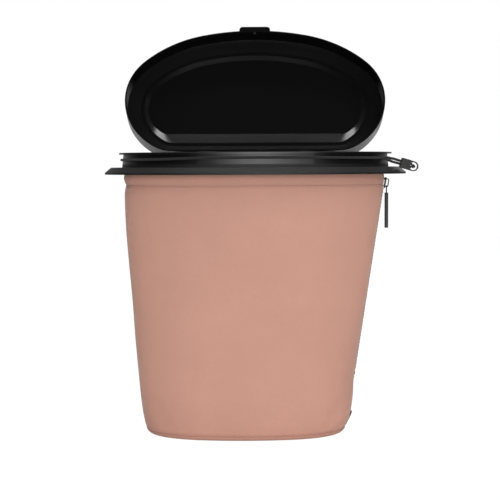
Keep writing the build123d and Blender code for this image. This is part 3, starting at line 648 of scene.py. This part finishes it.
def make_hem():
    """Folded hem band, rounded at its top and its stitched foot."""
    profile = []
    for step in range(HEM_ROWS + 1):
        share = step / HEM_ROWS
        z = HEM_FOOT_Z + (BAG_TOP_Z - HEM_FOOT_Z) * share
        round_foot = (1.0 - smooth_step(0.0, 0.2, share)) * HEM_FOOT_ROUNDING
        round_top = smooth_step(0.86, 1.0, share) * HEM_TOP_ROUNDING
        profile.append((z, -round_foot - round_top + HEM_CROWN * sin(pi * share)))
    outs = dict(profile)

    def point_at(z):
        ring = bag_ring(z, 0.0, GARAGE_HALF)
        return ring, [(x + nx * outs[z], y + ny * outs[z], z) for x, y, nx, ny in ring]

    hem = loft("hem_band", [z for z, _ in profile], point_at, in_slot_column)
    thicken(hem, CLOTH - 0.1, -1.0, 0.4)
    # The hem's cloth carries painted shade from the brim above it
    finish_piece(hem, "root", hem_fabric_painted_shade, "bag_fabric", "bag_hem")
    return hem


# Rings of the base's flat underside, by how far each is drawn in
UNDERSIDE_INSETS = [8.0, 12.0, 17.0, 22.0]
FLOOR_GAP = 0.02


def make_base():
    """Fabric base: turned up to the seam round its edge, rolled under and flat where it stands."""
    steps = []
    for step in range(9):
        angle = pi / 2 * step / 8
        steps.append((SEAM_Z * (1.0 - sin(angle)), SOLE_INSET * (1.0 - cos(angle))))
    verts = []
    uvs = []
    faces = []
    rings = []
    left = curve_value(LEFT_SIDE, SEAM_Z)
    right = right_side(SEAM_Z)
    half_width = (right - left) / 2
    middle = (right + left) / 2
    for z, inset in steps + [(0.0, inset) for inset in UNDERSIDE_INSETS]:
        ring = ring_points(bag_arcs(SEAM_Z, half_width, inset + 0.2), middle)
        rings.append((z, fill_front(ring, SEAM_Z, half_width, middle)))
    count = len(rings[0][1])
    for z, ring in rings:
        for x, y, nx, ny in ring:
            lift = 0.25 * (1.0 + sin(x * 0.11) * cos(y * 0.13)) if z == 0.0 else 0.0
            verts.append((x, y, max(FLOOR_GAP, z + lift * 0.4)))
            uvs.append((x * MM, y * MM))
    for row in range(len(rings) - 1):
        for column in range(count):
            after = (column + 1) % count
            low = row * count
            high = low + count
            faces.append((low + after, low + column, high + column, high + after))
    faces.append(tuple(reversed(range((len(rings) - 1) * count, len(rings) * count))))
    base = new_piece("base_cloth", verts, faces, uvs)
    thicken(base, CLOTH - 0.3, -1.0)
    # The base's cloth carries painted shade
    finish_piece(base, "root", base_fabric_painted_shade, "bag_fabric", "base_panel")
    return base


def rim_ring(inset, gap=GARAGE_HALF):
    """Ring of the collar's plan outline drawn in by an inset."""
    arcs = [(radius - inset, sweep) for radius, sweep in OUTLINE_ARCS]
    return ring_points(arcs, 0.0, gap)


TAPE_THICKNESS = 0.9
FASTENER_LOW_Z = 273.2
FASTENER_HIGH_Z = 288.4
LOOP_INSET = 13.3
HOOK_INSET = 14.4
BINDING_LOW_Z = 3.0
BINDING_HIGH_Z = 7.0
BINDING_INSET = 1.8


def tape_band(name, z_low, z_high, rows, ring_at_height, skip=None):
    """Flat black tape between two heights, along the ring that belongs to each height."""
    heights = [z_low + (z_high - z_low) * step / rows for step in range(rows + 1)]

    def point_at(z):
        ring = ring_at_height(z)
        return ring, [(x, y, z) for x, y, _, _ in ring]

    return thicken(loft(name, heights, point_at, skip), TAPE_THICKNESS, -1.0, 0.2)


def make_fastener(name, inset, node):
    """Hook or loop tape round the collar's spigot, open at the zip."""
    piece = tape_band(name, FASTENER_LOW_Z, FASTENER_HIGH_Z, 8, lambda z: rim_ring(inset), in_slot_column)
    return finish_piece(piece, "root", black_tape, "black_tape", node)


def make_binding():
    """Binding tape inside the base seam."""
    piece = tape_band("seam_binding", BINDING_LOW_Z, BINDING_HIGH_Z, 4, lambda z: bag_ring(z, BINDING_INSET))
    return finish_piece(piece, "root", black_tape, "black_tape", "base_binding")


# Distances from the zip's line of the points across each zip tape
ZIP_TAPE_OFFSETS = [0.5, 1.2, 2.2, 3.4, 5.0, 7.0, 8.8]
ZIP_TAPE_GAP = 0.15


def make_zip_tape(side, name):
    """Tape of one zip row, just inside the wall."""
    rows = 72
    verts = []
    uvs = []
    faces = []
    for row in range(rows + 1):
        z = ZIP_BOTTOM_Z + (HEM_FOOT_Z - ZIP_BOTTOM_Z) * row / rows
        ring = bag_ring(z, CLOTH + ZIP_TAPE_GAP)
        for offset in ZIP_TAPE_OFFSETS:
            x, y = ring_at(ring, offset, side)
            verts.append((x, y, z))
            uvs.append((offset * MM, z * MM))
    width = len(ZIP_TAPE_OFFSETS)
    for row in range(rows):
        for index in range(width - 1):
            low = row * width + index
            quad = (low, low + 1, low + width + 1, low + width)
            faces.append(quad if side > 0 else tuple(reversed(quad)))
    tape = new_piece(name + "_cloth", verts, faces, uvs)
    thicken(tape, 0.8, -1.0, 0.15)
    finish_piece(tape, "root", zip_fabric, "zip_tape", name)
    return tape


def ring_at(ring, offset, side):
    """Point of a ring at a distance in front of its widest point, side -1, or behind it, side 1."""
    column = SLOT_COLUMN if side < 0 else SLOT_COLUMN + 1
    target = side * offset
    tip_x = ring[column][0]
    if offset <= ZIP_SLOT_HALF:
        return tip_x, target
    place = ring[column]
    following = ring[column + side]
    while abs(following[1]) < offset:
        column += side
        place = ring[column]
        following = ring[column + side]
    share = (target - place[1]) / (following[1] - place[1])
    return place[0] + (following[0] - place[0]) * share, target


# Stitches: thread radius, space between them, and their sections along their length
# Each section is a share of the length, a share of the radius and a lift in radii
THREAD_RADIUS = 0.28
STITCH_GAP = 0.7
STITCH_SIDES = 5
STITCH_SECTIONS = [(0.0, 0.35, -0.35), (0.2, 0.9, 0.2), (0.8, 0.9, 0.2), (1.0, 0.35, -0.35)]
SEAM_STITCH = 2.6
ZIP_STITCH = 2.4
HEM_STITCH_BELOW = 1.6
BASE_STITCH_ABOVE = 1.4
ZIP_STITCH_OFFSET = 5.0


def stitch_row(name, path, length):
    """Row of short thread stitches along a path of (point, outward direction)."""
    verts = []
    faces = []
    travelled = 0.0
    next_at = 0.0
    sides = STITCH_SIDES
    for (start, normal), (end, _) in zip(path, path[1:]):
        start = Vector(start)
        end = Vector(end)
        run = (end - start).length
        if run < 1e-6:
            continue
        way = (end - start) / run
        across = Vector(normal).cross(way).normalized()
        while next_at < travelled + run:
            base = start + way * (next_at - travelled)
            first = len(verts)
            for share, swell, lift in STITCH_SECTIONS:
                middle = base + way * (length * share) + Vector(normal) * (THREAD_RADIUS * lift)
                for corner in range(sides):
                    turn = 2 * pi * corner / sides
                    sideways = across * (cos(turn) * THREAD_RADIUS * swell)
                    outward = Vector(normal) * (sin(turn) * THREAD_RADIUS * swell)
                    verts.append(tuple(middle + (sideways + outward)))
            for level in range(len(STITCH_SECTIONS) - 1):
                for corner in range(sides):
                    after = (corner + 1) % sides
                    low = first + level * sides
                    faces.append((low + corner, low + after, low + sides + after, low + sides + corner))
            faces.append(tuple(reversed(range(first, first + sides))))
            faces.append(tuple(range(first + 3 * sides, first + 4 * sides)))
            next_at += length + STITCH_GAP
        travelled += run
    stitches = new_piece(name, verts, faces, [(v[0] * MM, v[2] * MM) for v in verts])
    finish_piece(stitches, "root", thread, "bag_fabric")
    return stitches


def wall_path(z, out):
    """Path round the wall at height z for a row of stitches, from the zip round to the zip."""
    ring = bag_ring(z)
    order = list(range(SLOT_COLUMN + 2, len(ring))) + list(range(0, SLOT_COLUMN))
    path = []
    for index in order:
        x, y, nx, ny = ring[index]
        px, py, pz = wall_point(ring[index], z)
        path.append(((px + nx * out, py + ny * out, pz), (nx, ny, 0.0)))
    return path


def zip_path(side, offset, out):
    """Path beside the zip opening for a row of stitches."""
    path = []
    for row in range(70):
        z = ZIP_BOTTOM_Z - 2.0 + (HEM_FOOT_Z - 4.0 - ZIP_BOTTOM_Z) * row / 69
        x, y = ring_at(bag_ring(z), offset, side)
        path.append(((x + out, y, z), (1.0, 0.0, 0.0)))
    return path


LABEL_FOOT_Z = 4.6
LABEL_HEIGHT = 15.0
LABEL_WIDTH = 11.4
LABEL_EDGE = 0.31
LABEL_STAND_LOW = 0.5
LABEL_STAND_MORE = 1.0


def make_label():
    """Blank folded label, sewn at its foot and standing off a little at its top."""
    verts = []
    uvs = []
    faces = []
    rows = 12
    columns = 8
    for row in range(rows + 1):
        share = row / rows
        z = LABEL_FOOT_Z + LABEL_HEIGHT * share
        stand = LABEL_STAND_LOW + LABEL_STAND_MORE * share * share
        ring = bag_ring(z)
        for column in range(columns + 1):
            offset = max(0.3 + LABEL_WIDTH * column / columns, LABEL_EDGE)
            x, y = ring_at(ring, offset, 1)
            curl = 0.25 * sin(pi * column / columns)
            verts.append((x + stand + curl, y, z))
            uvs.append((y * MM, z * MM))
    width = columns + 1
    for row in range(rows):
        for column in range(columns):
            low = row * width + column
            faces.append((low, low + 1, low + width + 1, low + width))
    label = new_piece("blank_label", verts, faces, uvs)
    thicken(label, 1.0, 0.0, 0.3)
    finish_piece(label, "root", label_cloth, "label_tape", "side_label")
    return label


# Elastic cord

CORD_RADIUS = 1.4
CORD_Z = 300.6
CORD_GAP = 0.15
NECK_INSET_AT_CORD = 7.45
CORD_INSET = NECK_INSET_AT_CORD - CORD_RADIUS - CORD_GAP

# The ring's arc at the right tip, and the angles from the tip, in degrees, at which the ring's two ends lie
TIP_RADIUS = OUTLINE_ARCS[FRONT_ARCS - 1][0] - CORD_INSET
TIP_CENTRE_X = HALF_WIDTH - CORD_INSET - TIP_RADIUS
CORD_FRONT_END = 38.0
CORD_BACK_END = 20.0
LEFT_SAG = 1.3
FRONT_RISE = 0.6

# Cord lock: its place, its tilt in degrees, its eye and the two cords in it
LOCK_PLACE = (155.6, -36.0, 295.3)
LOCK_TILT = 17.0
LOCK_LENGTH = 19.4
EYE_LENGTH = 10.7
STRAND_LEVEL = 1.55
STRAND_APPROACH = -4.5
STRAND_ENTRY = 0.3
FRONT_BEND = (-4.0, 0.9, 0.9)
BACK_BEND = (-3.0, 4.2, 1.3)
FRONT_LEAD = 4.6
BACK_LEAD = 5.5
KNOT_CORD_RADIUS = 0.62
KNOT_REACH = 1.15
KNOT_SWING = 0.55
KNOT_DEPTH = 0.75
KNOT_STEPS = 96


def tube(name, path, radius, sides=14, up=Vector((0, 0, 1))):
    """Round tube through points in millimetres, with texture lengths along and around it."""
    points = [Vector(p) for p in path]
    verts = []
    uvs = []
    faces = []
    travelled = 0.0
    for index, point in enumerate(points):
        before = points[max(0, index - 1)]
        after = points[min(len(points) - 1, index + 1)]
        way = (after - before).normalized()
        side = way.cross(up).normalized()
        over = side.cross(way).normalized()
        if index:
            travelled += (point - points[index - 1]).length
        for corner in range(sides):
            turn = 2 * pi * corner / sides
            verts.append(tuple(point + side * cos(turn) * radius + over * sin(turn) * radius))
            uvs.append((travelled * MM, turn * radius * MM))
    for index in range(len(points) - 1):
        for corner in range(sides):
            after = (corner + 1) % sides
            low = index * sides
            faces.append((low + corner, low + sides + corner, low + sides + after, low + after))
    faces.append(tuple(range(sides)))
    last = (len(points) - 1) * sides
    faces.append(tuple(reversed(range(last, last + sides))))
    return new_piece(name, verts, faces, uvs)


def cord_tip(angle):
    """Point of the cord's ring at an angle from the right tip, and the way it runs there."""
    turn = radians(angle)
    tip = Vector((TIP_CENTRE_X + TIP_RADIUS * cos(turn), TIP_RADIUS * sin(turn), CORD_Z))
    return tip, Vector((-sin(turn), cos(turn), 0))


def make_ring():
    """Elastic cord round the neck, hanging a little lower at the left than in front."""
    ring = rim_ring(CORD_INSET, 0.5)
    start = cord_tip(-CORD_FRONT_END)[0]
    end = cord_tip(-CORD_BACK_END)[0]
    placed = [(x, y) for x, y, _, _ in reversed(ring[: SLOT_COLUMN + 1]) if y < start.y - 0.5]
    placed += [(x, y) for x, y, _, _ in reversed(ring[SLOT_COLUMN + 1 :])]
    placed.append(ring[SLOT_COLUMN][:2])
    for step in range(1, 8):
        turn = radians(-CORD_BACK_END * step / 8)
        placed.append((TIP_CENTRE_X + TIP_RADIUS * cos(turn), TIP_RADIUS * sin(turn)))
    path = [tuple(start)]
    for x, y in placed:
        sag = LEFT_SAG * smooth_step(20.0, 150.0, -x)
        rise = FRONT_RISE * (1.0 - smooth_step(30.0, 110.0, abs(x))) if y < 0 else 0.0
        path.append((x, y, CORD_Z - (sag - rise)))
    path.append(tuple(end))
    cord = tube("elastic_ring", path, CORD_RADIUS)
    finish_piece(cord, "root", elastic, "elastic", "elastic_cord")
    return cord


def lock_place(u, w, y=0.0):
    """Point of the cord lock: u along it, w up across it, y back from its cords."""
    tilt = radians(LOCK_TILT)
    middle = Vector((LOCK_PLACE[0], LOCK_PLACE[1] + y, LOCK_PLACE[2]))
    along = Vector((cos(tilt), 0, -sin(tilt)))
    across = Vector((sin(tilt), 0, cos(tilt)))
    return middle + along * u + across * w


def smooth_path(corners, steps):
    """Smooth line through the middles of a route's runs and near its corners."""
    points = [Vector(c) for c in corners]
    curve = bpy.data.curves.new("route", "CURVE")
    curve.dimensions = "3D"
    spline = curve.splines.new("NURBS")
    spline.points.add(len(points) - 1)
    for control, point in zip(spline.points, points):
        control.co = (*point, 1.0)
    spline.order_u = 3
    spline.use_endpoint_u = True
    spline.resolution_u = steps
    holder = bpy.data.objects.new("route", curve)
    mesh = bpy.data.meshes.new_from_object(holder)
    path = [tuple(v.co) for v in mesh.vertices]
    bpy.data.objects.remove(holder)
    bpy.data.meshes.remove(mesh)
    return path


def make_strand(name, node, corners):
    """End of the elastic between the neck and the lock."""
    path = smooth_path(corners, 10)
    piece = tube(name, path, CORD_RADIUS)
    piece.data.materials.append(elastic)
    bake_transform(piece)
    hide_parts(node)
    return piece


def make_strands():
    """Both ends of the elastic, from the neck's ring into the lock."""
    start, way = cord_tip(-CORD_FRONT_END)
    inner = lock_place(STRAND_APPROACH, -STRAND_LEVEL)
    entry = lock_place(STRAND_ENTRY, -STRAND_LEVEL)
    bend = inner + Vector(FRONT_BEND)
    route = [start, start + way * FRONT_LEAD, bend, inner, entry]
    make_strand("elastic_end_front", "cord_strand_front", route)
    start, way = cord_tip(-CORD_BACK_END)
    inner = lock_place(STRAND_APPROACH, STRAND_LEVEL)
    entry = lock_place(STRAND_ENTRY, STRAND_LEVEL)
    bend = inner + Vector(BACK_BEND)
    route = [start, start - way * BACK_LEAD, bend, inner, entry]
    make_strand("elastic_end_back", "cord_strand_back", route)


def make_tail():
    """The two cords inside the lock, tied in an overhand knot that shows in its eye."""
    eye = LOCK_LENGTH - EYE_LENGTH / 2
    for level, name in ((-1, "elastic_in_lock_low"), (1, "elastic_in_lock_high")):
        path = [lock_place(u, level * STRAND_LEVEL) for u in (STRAND_ENTRY, 3.0, 6.0, 9.0, 12.2)]
        piece = tube(name, path, CORD_RADIUS)
        finish_piece(piece, "cord_lock", elastic, "elastic")
    turns = []
    for step in range(KNOT_STEPS + 1):
        angle = 2 * pi * step / KNOT_STEPS
        reach = KNOT_REACH + KNOT_SWING * cos(3 * angle)
        u = eye + reach * cos(2 * angle)
        w = reach * sin(2 * angle)
        y = KNOT_DEPTH * sin(3 * angle)
        turns.append(lock_place(u, w, y))
    knot = tube("elastic_knot", turns, KNOT_CORD_RADIUS, 10)
    finish_piece(knot, "cord_lock", elastic, "elastic", "cord_tail")
    return knot


SPRING_WIRE = 0.5
SPRING_TURNS = 3


def make_spring():
    """Coil spring of the cord lock."""
    low, high = [Vector(corner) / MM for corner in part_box("cord_lock_spring")]
    length = high.y - low.y
    radius = (high.x - low.x - SPRING_WIRE) / 2
    steps = 24 * SPRING_TURNS
    path = []
    for step in range(steps + 1):
        turn = 2 * pi * SPRING_TURNS * step / steps
        y = low.y + SPRING_WIRE / 2 + (length - SPRING_WIRE) * step / steps
        path.append(((low.x + high.x) / 2 + radius * cos(turn), y, (low.z + high.z) / 2 + radius * sin(turn)))
    spring = tube("lock_spring", path, SPRING_WIRE / 2, 8, Vector((0, 1, 0)))
    finish_piece(spring, "cord_lock", spring_metal, "spring_steel", "cord_lock_spring")
    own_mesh(spring)
    return spring


# CAD nodes that keep their own shape

def finish_nodes():
    """Give each of these nodes its material."""
    finishes = {
        "collar": collar_black,
        "lid": lid_black,
        "hinge_pin_left": pin_metal,
        "hinge_pin_right": pin_metal,
        "base_board": board,
        "zip_teeth_front": teeth_plastic,
        "zip_teeth_back": teeth_plastic,
        "zip_top_stops": teeth_plastic,
        "zip_bottom_stop": teeth_plastic,
        "zip_slider": black_metal,
        "zip_pull_link": black_metal,
        "zip_pull_bar": grip,
        "cord_lock_body": lock_plastic,
        "cord_lock_plunger": lock_plastic,
    }
    for node, material in finishes.items():
        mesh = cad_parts[node].data
        mesh.materials.clear()
        mesh.materials.append(material)


# Stage, light and camera

# Where the white table ends in front, in metres: the lid's inside reflects what lies beyond
FLOOR_FRONT = -0.6
FLOOR_REACH = 4
FLOOR_Z = -0.0005
FLOOR_GLOW = 1.06
FLOOR_GLOW_SHARE = 0.94

# Light of the room, and what glossy surfaces reflect in front and behind, with the ramp between the two
ROOM_LIGHT = (0.30, 0.30, 0.30)
REFLECTED_FRONT = (0.015, 0.015, 0.015)
REFLECTED_BACK = (0.5, 0.5, 0.5)
REFLECTION_RAMP = (0.45, 0.85)

# Soft lights: name, place, target, size and power, in metres and watts
MIDDLE = (0.0, 0.0, 0.2)
SOFTBOXES = [
    ("front_box", (0.2, -2.6, 0.42), MIDDLE, (2.0, 0.8), 28.0),
    ("front_core_box", (0.05, -2.5, 0.42), MIDDLE, (0.7, 0.7), 10.0),
    ("left_high_box", (-1.7, -1.1, 2.0), MIDDLE, (1.0, 1.0), 4.0),
    ("right_high_box", (1.7, -1.1, 2.0), MIDDLE, (1.0, 1.0), 12.0),
    ("overhead_box", (0.0, 0.22, 2.2), (0.0, 0.12, 0.3), (1.3, 0.3), 12.0),
    ("back_box", (0.5, 2.6, 1.3), MIDDLE, (1.6, 1.0), 16.0),
]

# Camera: place in metres, lens and sensor in millimetres, and its turns in degrees
CAMERA_PLACE = (0.0, -1.45, 0.295)
CAMERA_LENS = 94.9
CAMERA_SENSOR = 36.0
CAMERA_DOWN = 3.76
CAMERA_YAW = 0.244
CAMERA_ROLL = -0.25


def make_floor():
    """White table top, which to the camera is mostly its own even glow."""
    floor_mesh = bpy.data.meshes.new("floor")
    z = FLOOR_Z
    far = FLOOR_REACH
    corners = [(-far, FLOOR_FRONT, z), (far, FLOOR_FRONT, z), (far, far, z), (-far, far, z)]
    floor_mesh.from_pydata(corners, [], [(0, 1, 2, 3)])
    floor = bpy.data.objects.new("floor", floor_mesh)
    bpy.context.scene.collection.objects.link(floor)
    paint = Nodes("white_floor")
    grain = paint.noise(40.0, 3.0, 0.5, paint.place("Object"))
    paint.colour(paint.ramp(grain, (0.93, 0.93, 0.93), (0.95, 0.95, 0.95)))
    paint.set(Roughness=0.9, Specular_IOR_Level=0.1)
    glow = paint.add("ShaderNodeEmission")
    glow.inputs["Strength"].default_value = FLOOR_GLOW
    mix = paint.add("ShaderNodeMixShader")
    ray = paint.add("ShaderNodeLightPath")
    share = paint.math("MULTIPLY", ray.outputs["Is Camera Ray"], FLOOR_GLOW_SHARE)
    paint.tree.links.new(share, mix.inputs[0])
    paint.join(paint.shader, "BSDF", mix, 1)
    paint.join(glow, "Emission", mix, 2)
    output = [n for n in paint.tree.nodes if n.type == "OUTPUT_MATERIAL"][0]
    paint.join(mix, "Shader", output, "Surface")
    floor.data.materials.append(paint.material)


def make_world():
    """White to the camera, an even grey room as light, and dark to bright in reflections."""
    world = bpy.data.worlds.new("studio")
    world.use_nodes = True
    tree = world.node_tree
    tree.nodes.clear()
    output = tree.nodes.new("ShaderNodeOutputWorld")
    place = tree.nodes.new("ShaderNodeTexCoord")
    axes = tree.nodes.new("ShaderNodeSeparateXYZ")
    tree.links.new(place.outputs["Generated"], axes.inputs[0])
    span = tree.nodes.new("ShaderNodeMapRange")
    span.inputs["From Min"].default_value = -1.0
    tree.links.new(axes.outputs[1], span.inputs["Value"])
    ramp = tree.nodes.new("ShaderNodeValToRGB")
    ramp.color_ramp.elements[0].position = REFLECTION_RAMP[0]
    ramp.color_ramp.elements[0].color = (*REFLECTED_FRONT, 1)
    ramp.color_ramp.elements[1].position = REFLECTION_RAMP[1]
    ramp.color_ramp.elements[1].color = (*REFLECTED_BACK, 1)
    tree.links.new(span.outputs["Result"], ramp.inputs["Fac"])
    ray = tree.nodes.new("ShaderNodeLightPath")
    last = background(tree, ROOM_LIGHT)
    reflected = background(tree, (1, 1, 1))
    tree.links.new(ramp.outputs["Color"], reflected.inputs["Color"])
    white = background(tree, (1, 1, 1))
    for kind, shade in (("Is Glossy Ray", reflected), ("Is Camera Ray", white)):
        mix = tree.nodes.new("ShaderNodeMixShader")
        tree.links.new(ray.outputs[kind], mix.inputs[0])
        tree.links.new(last.outputs[0], mix.inputs[1])
        tree.links.new(shade.outputs[0], mix.inputs[2])
        last = mix
    tree.links.new(last.outputs[0], output.inputs["Surface"])
    bpy.context.scene.world = world


def background(tree, colour):
    """World colour at strength 1."""
    node = tree.nodes.new("ShaderNodeBackground")
    node.inputs["Color"].default_value = (*colour, 1)
    node.inputs["Strength"].default_value = 1.0
    return node


def softbox(name, location, target, size, power):
    """Rectangular soft light aimed at a point."""
    lamp = bpy.data.lights.new(name, "AREA")
    lamp.shape = "RECTANGLE"
    lamp.size = size[0]
    lamp.size_y = size[1]
    lamp.energy = power
    holder = bpy.data.objects.new(name, lamp)
    holder.location = location
    aim = Vector(target) - Vector(location)
    holder.rotation_euler = aim.to_track_quat("-Z", "Y").to_euler()
    bpy.context.scene.collection.objects.link(holder)


def make_camera():
    """Camera at the photograph's viewing angle: a little above the bag and nearly level."""
    lens = bpy.data.cameras.new("camera")
    lens.sensor_width = CAMERA_SENSOR
    lens.lens = CAMERA_LENS
    lens.clip_start = 0.01
    lens.dof.use_dof = False
    camera = bpy.data.objects.new("camera", lens)
    pitch = Matrix.Rotation(radians(90.0 - CAMERA_DOWN), 4, "X")
    yaw = Matrix.Rotation(radians(CAMERA_YAW), 4, "Z")
    roll = Matrix.Rotation(radians(CAMERA_ROLL), 4, "Z")
    camera.matrix_world = Matrix.Translation(CAMERA_PLACE) @ yaw @ pitch @ roll
    bpy.context.scene.collection.objects.link(camera)
    bpy.context.scene.camera = camera


make_camera()
wall = make_wall()
hem = make_hem()
base = make_base()
loop = make_fastener("loop_band", LOOP_INSET, "loop_tape")
hook = make_fastener("hook_band", HOOK_INSET, "hook_tape")
make_binding()
tape_front = make_zip_tape(-1, "zip_tape_front")
tape_back = make_zip_tape(1, "zip_tape_back")
label = make_label()
make_ring()
make_strands()
make_tail()
make_spring()
seams = [
    stitch_row("hem_stitches", wall_path(HEM_FOOT_Z - HEM_STITCH_BELOW, 0.1), SEAM_STITCH),
    stitch_row("base_stitches", wall_path(SEAM_Z + BASE_STITCH_ABOVE, 0.1), SEAM_STITCH),
    stitch_row("zip_stitches_front", zip_path(-1, ZIP_STITCH_OFFSET, 0.05), ZIP_STITCH),
    stitch_row("zip_stitches_back", zip_path(1, ZIP_STITCH_OFFSET, 0.05), ZIP_STITCH),
]

# The lengths of the wall, hem, loop and hook bands are 3 to 6 percent short of the rings that they go round
finish_nodes()
make_floor()
make_world()
for name, location, target, size, power in SOFTBOXES:
    softbox(name, location, target, size, power)
bpy.context.scene.view_settings.view_transform = "Standard"
